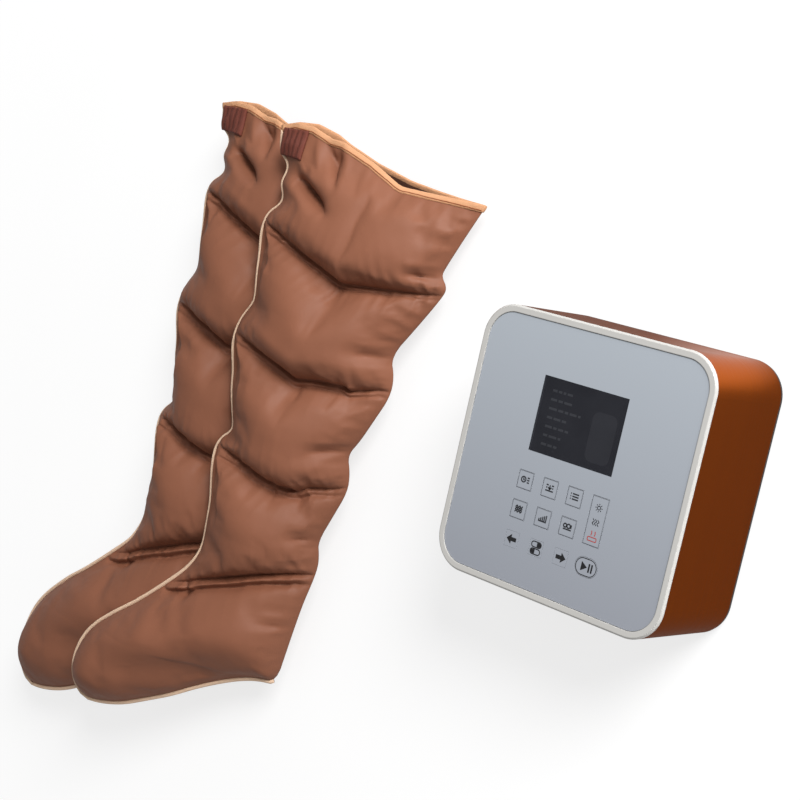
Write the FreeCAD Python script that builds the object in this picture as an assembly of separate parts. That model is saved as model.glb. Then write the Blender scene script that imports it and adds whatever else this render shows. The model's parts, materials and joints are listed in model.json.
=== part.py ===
import FreeCAD, Part
import math
import os

# Compression therapy pump with its pair of inflatable leg sleeves, in millimetres.
# The pump lies on its back: the face looks up +Z, the top of the face points along +Y,
# and the origin is on the table under the middle of the pump.
# The sleeves lie on the same table at -X, toes away from the pump, one leaning on the other.

V = FreeCAD.Vector
HAIR = 0.01                 # two heights closer than this count as one
THROUGH = 1.0               # a cutter reaches this far past the wall that it opens

# ---- pump: casing ----
BODY_W = 260.0              # casing width along X
BODY_H = 260.0              # casing height along Y
BODY_R = 34.0               # casing corner radius
BODY_D = 115.0              # from the wrap's back edge to the bezel's front
FOOT_H = 6.0                # rubber feet
FOOT_R = 10.0
FOOT_INSET = 40.0           # foot centre from the casing's side
COVER_T = 4.0               # back cover plate
COVER_SET = 0.8             # the cover's edge stands back from the wrap by this
WRAP_T = 2.0                # aluminium wrap wall
BEZEL_RIM = 3.0             # height of the bezel that shows above the wrap
BEZEL_W = 7.0               # width of the bezel ring on the face
BEZEL_EDGE = 1.6            # bevel of the bezel's outer edge
SLIP = 0.2                  # slip fit between casing parts
SKIRT_T = 2.5               # bezel skirt and cover lip
SKIRT_H = 9.0
LIP_H = 5.0
SCREW_BOSS_H = 6.0          # boss on the cover that meets the bezel's column
LEDGE_W = 5.0               # straight ledges under the panel's edge
LEDGE_T = 3.0
BOSS_S = 10.0               # square screw columns between bezel and cover
BOSS_INSET = 17.5           # screw axis from the casing's side
SCREW_R = 1.95
SCREW_CLEAR = 0.05
SCREW_HEAD_R = 3.8          # hexagon head, to its corners
SCREW_HEAD_H = 2.4
HEXAGON = 6
SCREW_GRIP = 14.0           # depth of the screw hole in the bezel's column
SCREW_SPARE = 1.0           # hole left beyond the screw's tip
VENT_W = 3.0
VENT_L = 50.0
VENT_PITCH = 8.0
VENT_COUNT = 6

# ---- pump: face ----
PANEL_T = 3.0
PANEL_SINK = 0.8            # the panel lies this far below the bezel's front
PANEL_GAP = 0.4
WINDOW_W = 95.0
WINDOW_H = 71.5
WINDOW_X = -0.9
WINDOW_Y = 38.3
LENS_GAP = 0.1
LCD_W = 104.0
LCD_H = 81.0
LCD_T = 9.2
KEY_PITCH = 28.6            # both ways between the six square keys
KEY_X = -15.1               # middle key of the square ones
KEY_ROW_Y = (-25.6, -53.9)
KEY_S = 17.0                # square key
KEY_GAP = 0.3
HEAT_W = 18.0
HEAT_H = 45.0
HEAT_X = 41.7
HEAT_Y = -40.0
LOW_KEY_Y = -82.5
LOW_KEY_S = 15.0
LOW_KEY_GAP = 0.15
PLAY_X = 42.6
PLAY_W = 24.6
PLAY_H = 17.4
KEY_TRAVEL = 0.5
FLANGE_T = 1.2              # lip that holds a key behind the panel
FLANGE_W = 1.2
FLANGE_GAP = 0.2
STEM_S = 2.8                # square stem
STEM_CLEAR = 0.08
STEM_DEPTH = 3.0            # stem inside its switch
SWITCH_S = 6.2
SWITCH_H = 6.5
BOARD_T = 1.6
BOARD_W = 134.0
BOARD_LOW_Y = -98.0
BOARD_HIGH_Y = 88.0
POST_S = 6.0

# ---- pump: left side ----
SIDE_Z = 50.0               # height of the sockets, the inlet and the switch
SOCKET_Y = (66.0, 12.0)
SOCKET_W = 46.0
SOCKET_H = 18.0
SOCKET_DEPTH = 20.0
SOCKET_FLANGE = 4.0
FLANGE_OUT = 2.0            # how far a side fitting stands out of the wrap
PORT_R = 3.0
PORT_PITCH = 8.6
PORT_COUNT = 5
PORT_DEPTH = 14.0
INLET_Y = -36.0
INLET_W = 22.0
INLET_H = 14.0
INLET_SLOT_W = 14.6
INLET_SLOT_H = 8.4
INLET_DEPTH = 12.0
INLET_WALL = 2.0            # behind the slot
INLET_PIN_R = 1.2
INLET_PIN_SINK = 2.5        # the pins stay this far behind the flange
INLET_PIN_PITCH = 8.6
ROCKER_Y = -72.0
ROCKER_W = 16.0
ROCKER_H = 10.4
ROCKER_GAP = 1.0
ROCKER_ANGLE = 8.0
ROCKER_PIVOT_R = 1.4
ROCKER_PIVOT_IN = 4.0       # pivot axis inside the wrap's face
ROCKER_PROUD = 1.0          # the rocker's ends stand this far out of its frame
ROCKER_SHOULDER = 0.82      # the rocker's back narrows to this share at the pivot
ROCKER_DEPTH = 9.0
ROCKER_BACK_W = 4.0
PIVOT_CLEAR = 0.08
PIVOT_L = 1.6
FRAME_WALL = 2.4
FRAME_DEPTH = 16.0
FRAME_FLANGE = 2.0

# ---- pump: air system ----
AIR_X = 26.0                # middle of the linear air pump
AIR_Y = -38.0
AIR_BASE_W = 150.0
AIR_BASE_H = 84.0
AIR_BASE_T = 3.0
MOUNT_S = 14.0
MOUNT_H = 14.0
MOUNT_INSET = 10.0
AXIS_UP = 33.0              # shuttle axis above the base
SHUTTLE_BAR = 6.0
SHUTTLE_W = 36.0
SHUTTLE_T = 13.0
SHUTTLE_H = 30.0
COIL_GAP = 1.0
COIL_W = 44.0
COIL_T = 20.0
COIL_H = 56.0
WINDING_OUT = 6.0           # the winding stands out of the core's ends
WINDING_IN = 3.0            # and is set in from the core's faces
WINDING_H = 24.0
HEAD_FACE = 48.0            # diaphragm face from the middle
DIAPHRAGM_T = 2.0
DIAPHRAGM_S = 44.0
HEAD_T = 20.0
HEAD_W = 56.0
HEAD_H = 58.0
HEAD_CUP_S = 36.0
HEAD_CUP_D = 8.0
SEAT_S = 18.0               # plates at the shuttle's ends, in the middle of each diaphragm
SEAT_GAP = 0.3
DUCT_S = 7.0                # square duct
LANE_OUT = 14.0             # the joining line runs this far beside the heads
RIBBON_L = 12.0             # from the manifold to the rotary distributor valve
VALVE_W = 44.0
VALVE_H = 48.0
VALVE_Z = 36.0
VALVE_T = 26.0
ROTOR_R = 17.0
ROTOR_T = 8.0
ROTOR_CLEAR = 0.3
ROTOR_SHAFT_R = 3.0
NOTCH_L = 10.0
NOTCH_W = 7.0
SHAFT_CLEAR = 0.05
VALVE_CAP_T = 5.0
VALVE_STAND_W = 36.0        # block of the cover under the valve
VALVE_STAND_H = 40.0
MOTOR_S = 34.0
MOTOR_H = 24.0
SHAFT_IN_MOTOR = 12.0
SHAFT_END_GAP = 1.0
MANIFOLD_T = 10.0
RIBBON_W = 40.0
RIBBON_T = 5.2
STAND_H = 10.0              # posts under the boards
STAND_S = 7.0
SUPPLY_X = 40.0
SUPPLY_Y = 76.0
SUPPLY_W = 96.0
SUPPLY_H = 64.0
MAIN_Y = -101.0
MAIN_W = 120.0
MAIN_H = 30.0
BOARD_EDGE = 5.0            # post centre from a board's edge
# Parts on a board: offset from the board's middle, size in plan and height.
SUPPLY_BLOCKS = (
    (-22.0, 6.0, 34.0, 32.0, 28.0),     # transformer
    (36.0, 0.0, 5.0, 44.0, 26.0),       # heat sink
    (16.0, -16.0, 18.0, 10.0, 5.0),     # rectifier
)
CAPACITOR = (14.0, 12.0, 9.0, 30.0)     # offset, radius and height
MAIN_BLOCKS = (
    (-8.0, 0.0, 14.0, 14.0, 2.0),       # processor
    (-44.0, 2.0, 12.0, 16.0, 13.0),     # relays
    (-28.0, 2.0, 12.0, 16.0, 13.0),
    (20.0, -9.0, 14.0, 7.0, 9.0),       # connectors
    (38.0, -9.0, 14.0, 7.0, 9.0),
)

# ---- sleeves ----
# across: from the calf fold towards the shin seam; along: from the heel towards the rim.
UPPER_HEEL = (-348.0, -359.0, 28.0)
UPPER_LEAN = 6.5
UPPER_TILT = 17.0
UPPER_DROOP = 5.0
UPPER_UNDER_LEAN = 0.65     # below 1 the swell's height moves towards the calf
LOWER_HEEL = (-484.0, -375.0, 20.0)
LOWER_LEAN = 6.75
LOWER_TILT = 10.0
LOWER_DROOP = 7.0
LOWER_LENGTH = 1.07         # the flat lower sleeve lies longer than the propped upper one
LOWER_FOOT = 1.18
LOWER_CUFF = 0.88           # its top chamber lies slightly gathered
CUFF_FROM = 480.0
LOWER_TOP_LEAN = 1.0
DROOP_FROM = 120.0
PRESSED_Z = 0.0             # the table, on which the underside is pressed flat
FOOT_FROM = 180.0
SKIN = 0.14                 # bladder width beside the leg cavity, as a share of the sleeve
CAVITY_T = 0.42             # cavity height, as a share of the sleeve's
RIM_CAVITY_T = 0.6
BINDING_L = 6.0
BINDING_OVER = 1.2
PIPING_W = 3.2
PIPING_T = 2.4
SEAM_GAP = 0.3
SEAT_LIFT = 0.5             # a sewn-on block clears the skin by this
TAB_W = 27.0
TAB_L = 34.0
TAB_T = 4.0
TAB_R = 2.0
TAB_SHARES = (0.886, 0.99)  # where the tab lies between calf (0) and shin (1)
TAB_RUN = (0.0, 0.85)       # and from the rim towards the next station
HOSE_PORT_W = 38.0
HOSE_PORT_L = 18.0
HOSE_PORT_T = 7.0
HOSE_CELL = 4.0
HOSE_CELL_D = 12.0
HOSE_CELL_PITCH = 7.0
HOSE_RUN = (0.2, 0.75)
UPPER_PORT = (0.32, 0.475)
LOWER_PORT = (0.52, 0.675)
SEAT_STEPS = 4              # the skin is probed in this many steps each way under a tab or port

# Stations of the sleeve: shin across and along, calf across and along, half thickness.
RIM = (223, 588, -36, 582, 13)
CREASE_1 = (208, 480, -21, 475, 24)
CREASE_2 = (200, 357, 2, 354, 24)
CREASE_3 = (190, 230, 16, 239, 24)
CREASE_4 = (196, 50, 25, 128, 26)
CHAMBERS = (
    (RIM, (186, 548, -27, 546, 34), (190, 520, -18, 515, 42), (206, 496, -14, 494, 36), CREASE_1),
    (CREASE_1, (206, 462, -13, 455, 40), (197, 420, 5, 418, 46), (192, 382, 12, 385, 38), CREASE_2),
    (CREASE_2, (199, 338, 7, 332, 40), (189, 300, 20, 298, 46), (181, 262, 26, 266, 38), CREASE_3),
    (CREASE_3, (189, 212, 22, 208, 40), (180, 172, 31, 175, 44), (168, 112, 24, 148, 38), CREASE_4),
)
FOOT = (CREASE_4, (222, 18, 28, 88, 40), (250, -16, 30, 44, 44), (274, -46, 32, 3, 42),
        (290, -78, 100, -30, 36), (293, -102, 190, -90, 26), (288, -114, 246, -114, 12))
FOOT_CAVITY_STATIONS = 4
SOLE_COUNT = 4              # the last stations of the foot, whose lower ends run along the sole
SWELL_POWER = 0.85          # under 1 makes a chamber's cross-section fuller than a sine


# ---- derived levels ----
COVER_Z = FOOT_H
WRAP_Z = COVER_Z + COVER_T
FACE_Z = WRAP_Z + BODY_D
WRAP_TOP = FACE_Z - BEZEL_RIM
PANEL_TOP = FACE_Z - PANEL_SINK
PANEL_Z = PANEL_TOP - PANEL_T
SIDE_X = -BODY_W / 2
FLANGE_TOP = PANEL_Z - FLANGE_GAP
FLANGE_Z = FLANGE_TOP - FLANGE_T
BOARD_TOP = PANEL_Z - LCD_T
SWITCH_TOP = BOARD_TOP + SWITCH_H
STEM_Z = SWITCH_TOP - STEM_DEPTH
FLOOR_Z = WRAP_Z            # inner floor of the casing
AIR_BASE_Z = FLOOR_Z + MOUNT_H
AXIS_Z = AIR_BASE_Z + AIR_BASE_T + AXIS_UP
BOARD_Z = FLOOR_Z + STAND_H
VALVE_Y = (SOCKET_Y[0] + SOCKET_Y[1]) / 2
SOCKET_BACK = SIDE_X + SOCKET_DEPTH
VALVE_X = SOCKET_BACK + MANIFOLD_T + RIBBON_L + VALVE_W / 2


def box(cx, cy, w, h, z0, z1):
    """Upright block about a centre in plan."""
    return Part.makeBox(w, h, z1 - z0, V(cx - w / 2, cy - h / 2, z0))


def disc(cx, cy, r, z0, z1):
    """Upright cylinder."""
    return Part.makeCylinder(r, z1 - z0, V(cx, cy, z0))


def disc_x(x0, x1, cy, cz, r):
    """Cylinder along X."""
    return Part.makeCylinder(r, x1 - x0, V(x0, cy, cz), V(1, 0, 0))


def rounded_wire(w, h, r, z, cx=0.0, cy=0.0):
    """Rounded rectangle at height z."""
    a = w / 2 - r
    b = h / 2 - r
    k = r * math.sqrt(0.5)
    edges = []
    corners = ((a, b, 1, 1), (-a, b, -1, 1), (-a, -b, -1, -1), (a, -b, 1, -1))
    for i, (x, y, sx, sy) in enumerate(corners):
        if sx * sy > 0:
            start, end = V(x + sx * r, y, 0), V(x, y + sy * r, 0)
        else:
            start, end = V(x, y + sy * r, 0), V(x + sx * r, y, 0)
        mid = V(x + sx * k, y + sy * k, 0)
        edges.append((start, mid, end))
    out = []
    shift = V(cx, cy, z)
    for i, (start, mid, end) in enumerate(edges):
        out.append(Part.Arc(start + shift, mid + shift, end + shift).toShape())
        following = edges[(i + 1) % 4][0]
        if (end - following).Length > 1e-6:
            out.append(Part.LineSegment(end + shift, following + shift).toShape())
    return Part.Wire(out)


def plate(w, h, r, z0, z1, cx=0.0, cy=0.0):
    """Rounded rectangular plate."""
    face = Part.Face(rounded_wire(w, h, r, z0, cx, cy))
    return face.extrude(V(0, 0, z1 - z0))


def inset_plate(inset, z0, z1):
    """Plate of the casing's outline, set in all round."""
    return plate(BODY_W - 2 * inset, BODY_H - 2 * inset, BODY_R - inset, z0, z1)


def side_box(y, z, w, h, x0, x1):
    """Block lying across X, centred at y and z."""
    return Part.makeBox(x1 - x0, w, h, V(x0, y - w / 2, z - h / 2))


def corners(dx, dy, cx=0.0, cy=0.0):
    """Four points of a rectangle about a centre."""
    return [(cx + sx * dx, cy + sy * dy) for sx in (-1, 1) for sy in (-1, 1)]


def ribs(inset, thick, z0, z1):
    """Four straight ribs, set in from the casing's sides and clear of its corners."""
    half_x = BODY_W / 2 - inset - thick / 2
    half_y = BODY_H / 2 - inset - thick / 2
    long_x = BODY_W - 2 * BODY_R
    long_y = BODY_H - 2 * BODY_R
    out = [box(0, sy * half_y, long_x, thick, z0, z1) for sy in (-1, 1)]
    return out + [box(sx * half_x, 0, thick, long_y, z0, z1) for sx in (-1, 1)]


def screw_points():
    """Casing screw axes."""
    return corners(BODY_W / 2 - BOSS_INSET, BODY_H / 2 - BOSS_INSET)


def foot_points():
    """Centres of the feet."""
    return corners(BODY_W / 2 - FOOT_INSET, BODY_H / 2 - FOOT_INSET)


def fuse(shapes):
    """One clean solid from touching pieces."""
    return shapes[0].multiFuse(shapes[1:]).removeSplitter()


# ---- keys ----

def key_table():
    """Name, centre, width, height, gap and whether the ends are round, of each key."""
    keys = []
    for row, y in enumerate(KEY_ROW_Y):
        for col in range(3):
            name = "key_%d" % (3 * row + col + 1)
            keys.append((name, KEY_X + (col - 1) * KEY_PITCH, y, KEY_S, KEY_S, KEY_GAP, False))
    keys.append(("key_heat", HEAT_X, HEAT_Y, HEAT_W, HEAT_H, KEY_GAP, False))
    for name, col in (("key_left", -1), ("key_mode", 0), ("key_right", 1)):
        x = KEY_X + col * KEY_PITCH
        keys.append((name, x, LOW_KEY_Y, LOW_KEY_S, LOW_KEY_S, LOW_KEY_GAP, False))
    keys.append(("key_play", PLAY_X, LOW_KEY_Y, PLAY_W, PLAY_H, KEY_GAP, True))
    return keys


def key_outline(x, y, w, h, pill, z0, z1):
    """Block of a key's outline: square, or with round ends."""
    if pill:
        return plate(w, h, h / 2, z0, z1, x, y)
    return box(x, y, w, h, z0, z1)


def key_cap(x, y, w, h, pill):
    """Key: cap in the panel, lip behind it and a stem down into its switch."""
    cap = key_outline(x, y, w, h, pill, FLANGE_TOP, PANEL_TOP)
    lip = box(x, y, w + 2 * FLANGE_W, h + 2 * FLANGE_W, FLANGE_Z, FLANGE_TOP)
    stem = box(x, y, STEM_S, STEM_S, STEM_Z, FLANGE_Z)
    return fuse([cap, lip, stem])


def key_switches():
    """Tact switch bodies on the display board, each bored for its key's stem."""
    bodies = []
    hole = STEM_S + 2 * STEM_CLEAR
    for name, x, y, w, h, gap, pill in key_table():
        body = box(x, y, SWITCH_S, SWITCH_S, BOARD_TOP, SWITCH_TOP)
        hole_z = STEM_Z - KEY_TRAVEL - FLANGE_GAP
        bodies.append(body.cut(box(x, y, hole, hole, hole_z, SWITCH_TOP)))
    return Part.makeCompound(bodies)


# ---- face ----

def front_bezel():
    """Ring round the face, ledge under the panel, skirt inside the wrap and screw columns."""
    rim = plate(BODY_W, BODY_H, BODY_R, WRAP_TOP, FACE_Z)
    top = [e for e in rim.Edges if e.BoundBox.ZMin > FACE_Z - HAIR]
    rim = rim.makeChamfer(BEZEL_EDGE, top)
    body = rim.cut(inset_plate(BEZEL_W, WRAP_TOP, FACE_Z))
    inset = WRAP_T + SLIP
    ledge_z = PANEL_Z - LEDGE_T
    ledge = ribs(inset, BEZEL_W - inset + LEDGE_W, ledge_z, PANEL_Z)
    skirt = ribs(inset, BEZEL_W - inset, WRAP_TOP - SKIRT_H, WRAP_TOP)
    foot = FLOOR_Z + SCREW_BOSS_H
    columns = [box(x, y, BOSS_S, BOSS_S, foot, PANEL_Z) for x, y in screw_points()]
    pillars = [box(x, y, BOSS_S, BOSS_S, PANEL_Z, WRAP_TOP) for x, y in screw_points()]
    pillars = [pillar.cut(inset_plate(BEZEL_W, PANEL_Z, WRAP_TOP)) for pillar in pillars]
    body = fuse([body] + ledge + skirt + columns + pillars)
    for x, y in screw_points():
        body = body.cut(disc(x, y, SCREW_R + SCREW_CLEAR, foot, foot + SCREW_GRIP))
    return body


def board_posts():
    """Where the display board hangs from the panel."""
    x = BOARD_W / 2 - BOARD_EDGE
    return [(sx * x, y) for sx in (-1, 1) for y in
            (BOARD_LOW_Y + BOARD_EDGE, 0.0, BOARD_HIGH_Y - BOARD_EDGE)]


def front_panel():
    """Face panel with the window, the key openings and the posts of the display board."""
    inset = BEZEL_W + PANEL_GAP
    panel = inset_plate(inset, PANEL_Z, PANEL_TOP)
    panel = panel.cut(box(WINDOW_X, WINDOW_Y, WINDOW_W, WINDOW_H, PANEL_Z, PANEL_TOP))
    for name, x, y, w, h, gap, pill in key_table():
        panel = panel.cut(key_outline(x, y, w + 2 * gap, h + 2 * gap, pill, PANEL_Z, PANEL_TOP))
    posts = [box(x, y, POST_S, POST_S, BOARD_TOP, PANEL_Z) for x, y in board_posts()]
    return fuse([panel] + posts)


def lcd_lens():
    """Clear window, flush in the panel."""
    w = WINDOW_W - 2 * LENS_GAP
    h = WINDOW_H - 2 * LENS_GAP
    return box(WINDOW_X, WINDOW_Y, w, h, PANEL_Z, PANEL_TOP)


def display_board():
    """Board behind the keys and the display, held on the panel's posts."""
    mid_y = (BOARD_LOW_Y + BOARD_HIGH_Y) / 2
    height = BOARD_HIGH_Y - BOARD_LOW_Y
    return box(0, mid_y, BOARD_W, height, BOARD_TOP - BOARD_T, BOARD_TOP)


# ---- casing ----

def wrap_shell():
    """Anodised rounded-square wrap with the openings of the left side."""
    outer = inset_plate(0, WRAP_Z, WRAP_TOP)
    shell = outer.cut(inset_plate(WRAP_T, WRAP_Z, WRAP_TOP))
    x0, x1 = SIDE_X - THROUGH, SIDE_X + WRAP_T + THROUGH
    openings = [(y, SOCKET_W, SOCKET_H) for y in SOCKET_Y]
    openings.append((INLET_Y, INLET_W, INLET_H))
    openings.append((ROCKER_Y,) + rocker_frame_size())
    for y, w, h in openings:
        shell = shell.cut(side_box(y, SIDE_Z, w + 2 * SLIP, h + 2 * SLIP, x0, x1))
    return shell


def vent_slots():
    """Slots under the power supply and under the air pump."""
    slots = []
    for cx, cy in ((SUPPLY_X, SUPPLY_Y), (AIR_X, AIR_Y)):
        for i in range(VENT_COUNT):
            y = cy + (i - (VENT_COUNT - 1) / 2) * VENT_PITCH
            slots.append(box(cx, y, VENT_L, VENT_W, COVER_Z, FLOOR_Z))
    return slots


def board_stands():
    """Centres of the posts that carry the two boards."""
    supply = corners(SUPPLY_W / 2 - BOARD_EDGE, SUPPLY_H / 2 - BOARD_EDGE, SUPPLY_X, SUPPLY_Y)
    main = corners(MAIN_W / 2 - BOARD_EDGE, MAIN_H / 2 - BOARD_EDGE, 0, MAIN_Y)
    return supply + main


def back_cover():
    """Back cover with its lip, screw bosses, vents and stands."""
    pieces = [inset_plate(COVER_SET, COVER_Z, FLOOR_Z)]
    pieces += ribs(WRAP_T + SLIP, SKIRT_T, FLOOR_Z, FLOOR_Z + LIP_H)
    for x, y in screw_points():
        pieces.append(box(x, y, BOSS_S, BOSS_S, FLOOR_Z, FLOOR_Z + SCREW_BOSS_H))
    for x, y in board_stands():
        pieces.append(box(x, y, STAND_S, STAND_S, FLOOR_Z, BOARD_Z))
    pieces.append(box(VALVE_X, VALVE_Y, VALVE_STAND_W, VALVE_STAND_H, FLOOR_Z, VALVE_Z))
    cover = fuse(pieces)
    holes = []
    for x, y in screw_points():
        holes.append(disc(x, y, SCREW_R + SCREW_CLEAR, COVER_Z, FLOOR_Z + SCREW_BOSS_H))
    return cover.cut(Part.makeCompound(holes + vent_slots()))


def feet():
    """Four rubber feet."""
    return Part.makeCompound([disc(x, y, FOOT_R, 0, FOOT_H) for x, y in foot_points()])


def cover_screws():
    """Four screws from the cover into the bezel's columns."""
    out = []
    for x, y in screw_points():
        top = FLOOR_Z + SCREW_BOSS_H + SCREW_GRIP - SCREW_SPARE
        points = [V(x + SCREW_HEAD_R * math.cos(2 * math.pi * i / HEXAGON),
                    y + SCREW_HEAD_R * math.sin(2 * math.pi * i / HEXAGON),
                    COVER_Z - SCREW_HEAD_H) for i in range(HEXAGON + 1)]
        head = Part.Face(Part.makePolygon(points)).extrude(V(0, 0, SCREW_HEAD_H))
        shank = disc(x, y, SCREW_R, COVER_Z, top)
        out.append(fuse([head, shank]))
    return Part.makeCompound(out)


# ---- left side ----

def port_offsets():
    """Offsets of the air ports from their socket's middle."""
    return [(i - (PORT_COUNT - 1) / 2) * PORT_PITCH for i in range(PORT_COUNT)]


def air_socket(y):
    """Five-way socket for a sleeve's hose."""
    flange = side_box(y, SIDE_Z, SOCKET_W + 2 * SOCKET_FLANGE, SOCKET_H + 2 * SOCKET_FLANGE,
                      SIDE_X - FLANGE_OUT, SIDE_X)
    body = side_box(y, SIDE_Z, SOCKET_W, SOCKET_H, SIDE_X, SOCKET_BACK)
    socket = fuse([flange, body])
    mouth = SIDE_X - FLANGE_OUT
    for dy in port_offsets():
        socket = socket.cut(disc_x(mouth, mouth + PORT_DEPTH, y + dy, SIDE_Z, PORT_R))
    return socket


def power_inlet():
    """Two-pin mains inlet."""
    flange = side_box(INLET_Y, SIDE_Z, INLET_W + 2 * SOCKET_FLANGE, INLET_H + 2 * SOCKET_FLANGE,
                      SIDE_X - FLANGE_OUT, SIDE_X)
    mouth = SIDE_X - FLANGE_OUT
    floor = mouth + INLET_DEPTH
    body = side_box(INLET_Y, SIDE_Z, INLET_W, INLET_H, SIDE_X, floor + INLET_WALL)
    inlet = fuse([flange, body])
    slot = side_box(INLET_Y, SIDE_Z, INLET_SLOT_W, INLET_SLOT_H, mouth, floor)
    inlet = inlet.cut(slot)
    pins = [disc_x(mouth + INLET_PIN_SINK, floor, INLET_Y + s * INLET_PIN_PITCH / 2, SIDE_Z,
                   INLET_PIN_R) for s in (-1, 1)]
    return fuse([inlet] + pins)


def rocker_frame_size():
    """Outside of the rocker's frame, along Y and Z."""
    w = ROCKER_W + 2 * ROCKER_GAP + 2 * FRAME_WALL
    h = ROCKER_H + 2 * SLIP + 2 * FRAME_WALL
    return w, h


def power_switch_frame():
    """Frame of the power rocker, bored for its pivots."""
    w, h = rocker_frame_size()
    back = SIDE_X + FRAME_DEPTH
    flange = side_box(ROCKER_Y, SIDE_Z, w + 2 * FRAME_FLANGE, h + 2 * FRAME_FLANGE,
                      SIDE_X - FLANGE_OUT, SIDE_X)
    body = side_box(ROCKER_Y, SIDE_Z, w, h, SIDE_X, back)
    frame = fuse([flange, body])
    well = side_box(ROCKER_Y, SIDE_Z, ROCKER_W + 2 * ROCKER_GAP, ROCKER_H + 2 * SLIP,
                    SIDE_X - FLANGE_OUT, back - FRAME_WALL)
    frame = frame.cut(well)
    reach = ROCKER_H / 2 + PIVOT_L + SLIP
    return frame.cut(disc(SIDE_X + ROCKER_PIVOT_IN, ROCKER_Y, ROCKER_PIVOT_R + PIVOT_CLEAR,
                          SIDE_Z - reach, SIDE_Z + reach))


def power_rocker():
    """Rocker with a dished double slope on its front and two pivots."""
    slope = math.tan(math.radians(ROCKER_ANGLE)) * ROCKER_W / 2
    front = SIDE_X - FLANGE_OUT - ROCKER_PROUD
    axis = SIDE_X + ROCKER_PIVOT_IN
    back = SIDE_X + ROCKER_DEPTH
    half = ROCKER_W / 2
    shoulder = half * ROCKER_SHOULDER
    tail = ROCKER_BACK_W / 2
    outline = [(front, -half), (front + slope, 0), (front, half), (axis, shoulder),
               (back, tail), (back, -tail), (axis, -shoulder)]
    low = SIDE_Z - ROCKER_H / 2
    points = [V(x, ROCKER_Y + y, low) for x, y in outline]
    body = Part.Face(Part.makePolygon(points + points[:1])).extrude(V(0, 0, ROCKER_H))
    reach = ROCKER_H / 2 + PIVOT_L
    pivot = disc(axis, ROCKER_Y, ROCKER_PIVOT_R, SIDE_Z - reach, SIDE_Z + reach)
    return fuse([body, pivot])


# ---- linear air pump ----

def head_centre(side):
    """Middle of a pump head along X."""
    return AIR_X + side * (HEAD_FACE + DIAPHRAGM_T + HEAD_T / 2)


def pump_base():
    """Base plate of the air pump."""
    return box(AIR_X, AIR_Y, AIR_BASE_W, AIR_BASE_H, AIR_BASE_Z, AIR_BASE_Z + AIR_BASE_T)


def pump_mounts():
    """Rubber mounts between the cover and the pump's base."""
    points = corners(AIR_BASE_W / 2 - MOUNT_INSET, AIR_BASE_H / 2 - MOUNT_INSET, AIR_X, AIR_Y)
    return Part.makeCompound([box(x, y, MOUNT_S, MOUNT_S, FLOOR_Z, AIR_BASE_Z) for x, y in points])


def pump_coils():
    """Two coil blocks, each an iron core with its winding, either side of the shuttle."""
    out = []
    base = AIR_BASE_Z + AIR_BASE_T
    for side in (-1, 1):
        y = AIR_Y + side * (SHUTTLE_T / 2 + COIL_GAP + COIL_T / 2)
        core = box(AIR_X, y, COIL_W, COIL_T, base, base + COIL_H)
        winding = box(AIR_X, y, COIL_W + 2 * WINDING_OUT, COIL_T - 2 * WINDING_IN,
                      AXIS_Z - WINDING_H / 2, AXIS_Z + WINDING_H / 2)
        out.append(fuse([core, winding]))
    return Part.makeCompound(out)


def pump_shuttle():
    """Magnet shuttle: block, bar and the plates in the middle of the diaphragms."""
    block = box(AIR_X, AIR_Y, SHUTTLE_W, SHUTTLE_T, AXIS_Z - SHUTTLE_H / 2, AXIS_Z + SHUTTLE_H / 2)
    end = HEAD_FACE + DIAPHRAGM_T
    bar = side_box(AIR_Y, AXIS_Z, SHUTTLE_BAR, SHUTTLE_BAR, AIR_X - end, AIR_X + end)
    left = side_box(AIR_Y, AXIS_Z, SEAT_S, SEAT_S, AIR_X - end, AIR_X - HEAD_FACE)
    right = side_box(AIR_Y, AXIS_Z, SEAT_S, SEAT_S, AIR_X + HEAD_FACE, AIR_X + end)
    return fuse([block, bar, left, right])


def pump_head(side):
    """Pump head: a cup closed by its diaphragm."""
    cx = head_centre(side)
    base = AIR_BASE_Z + AIR_BASE_T
    body = box(cx, AIR_Y, HEAD_T, HEAD_W, base, base + HEAD_H)
    face = AIR_X + side * (HEAD_FACE + DIAPHRAGM_T)
    inner = face + side * HEAD_CUP_D
    cup = side_box(AIR_Y, AXIS_Z, HEAD_CUP_S, HEAD_CUP_S, min(face, inner), max(face, inner))
    return body.cut(cup)


def pump_diaphragm(side):
    """Rubber diaphragm, clamped on its head, open round the shuttle's plate."""
    face = AIR_X + side * HEAD_FACE
    far = face + side * DIAPHRAGM_T
    x0, x1 = min(face, far), max(face, far)
    sheet = side_box(AIR_Y, AXIS_Z, DIAPHRAGM_S, DIAPHRAGM_S, x0, x1)
    opening = SEAT_S + 2 * SEAT_GAP
    return sheet.cut(side_box(AIR_Y, AXIS_Z, opening, opening, x0, x1))


def air_line():
    """Moulded duct that joins both heads and feeds the distributor valve."""
    start = AIR_Y + HEAD_W / 2
    lane = start + LANE_OUT
    valve = VALVE_Y - VALVE_H / 2
    low = AXIS_Z - DUCT_S / 2
    left = head_centre(-1)
    right = head_centre(1)
    first = box(left, (start + valve) / 2, DUCT_S, valve - start, low, low + DUCT_S)
    second = box(right, (start + lane) / 2, DUCT_S, lane - start, low, low + DUCT_S)
    cross = box((left + right) / 2, lane - DUCT_S / 2, right - left, DUCT_S, low, low + DUCT_S)
    return fuse([first, second, cross])


# ---- distributor valve ----

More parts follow.
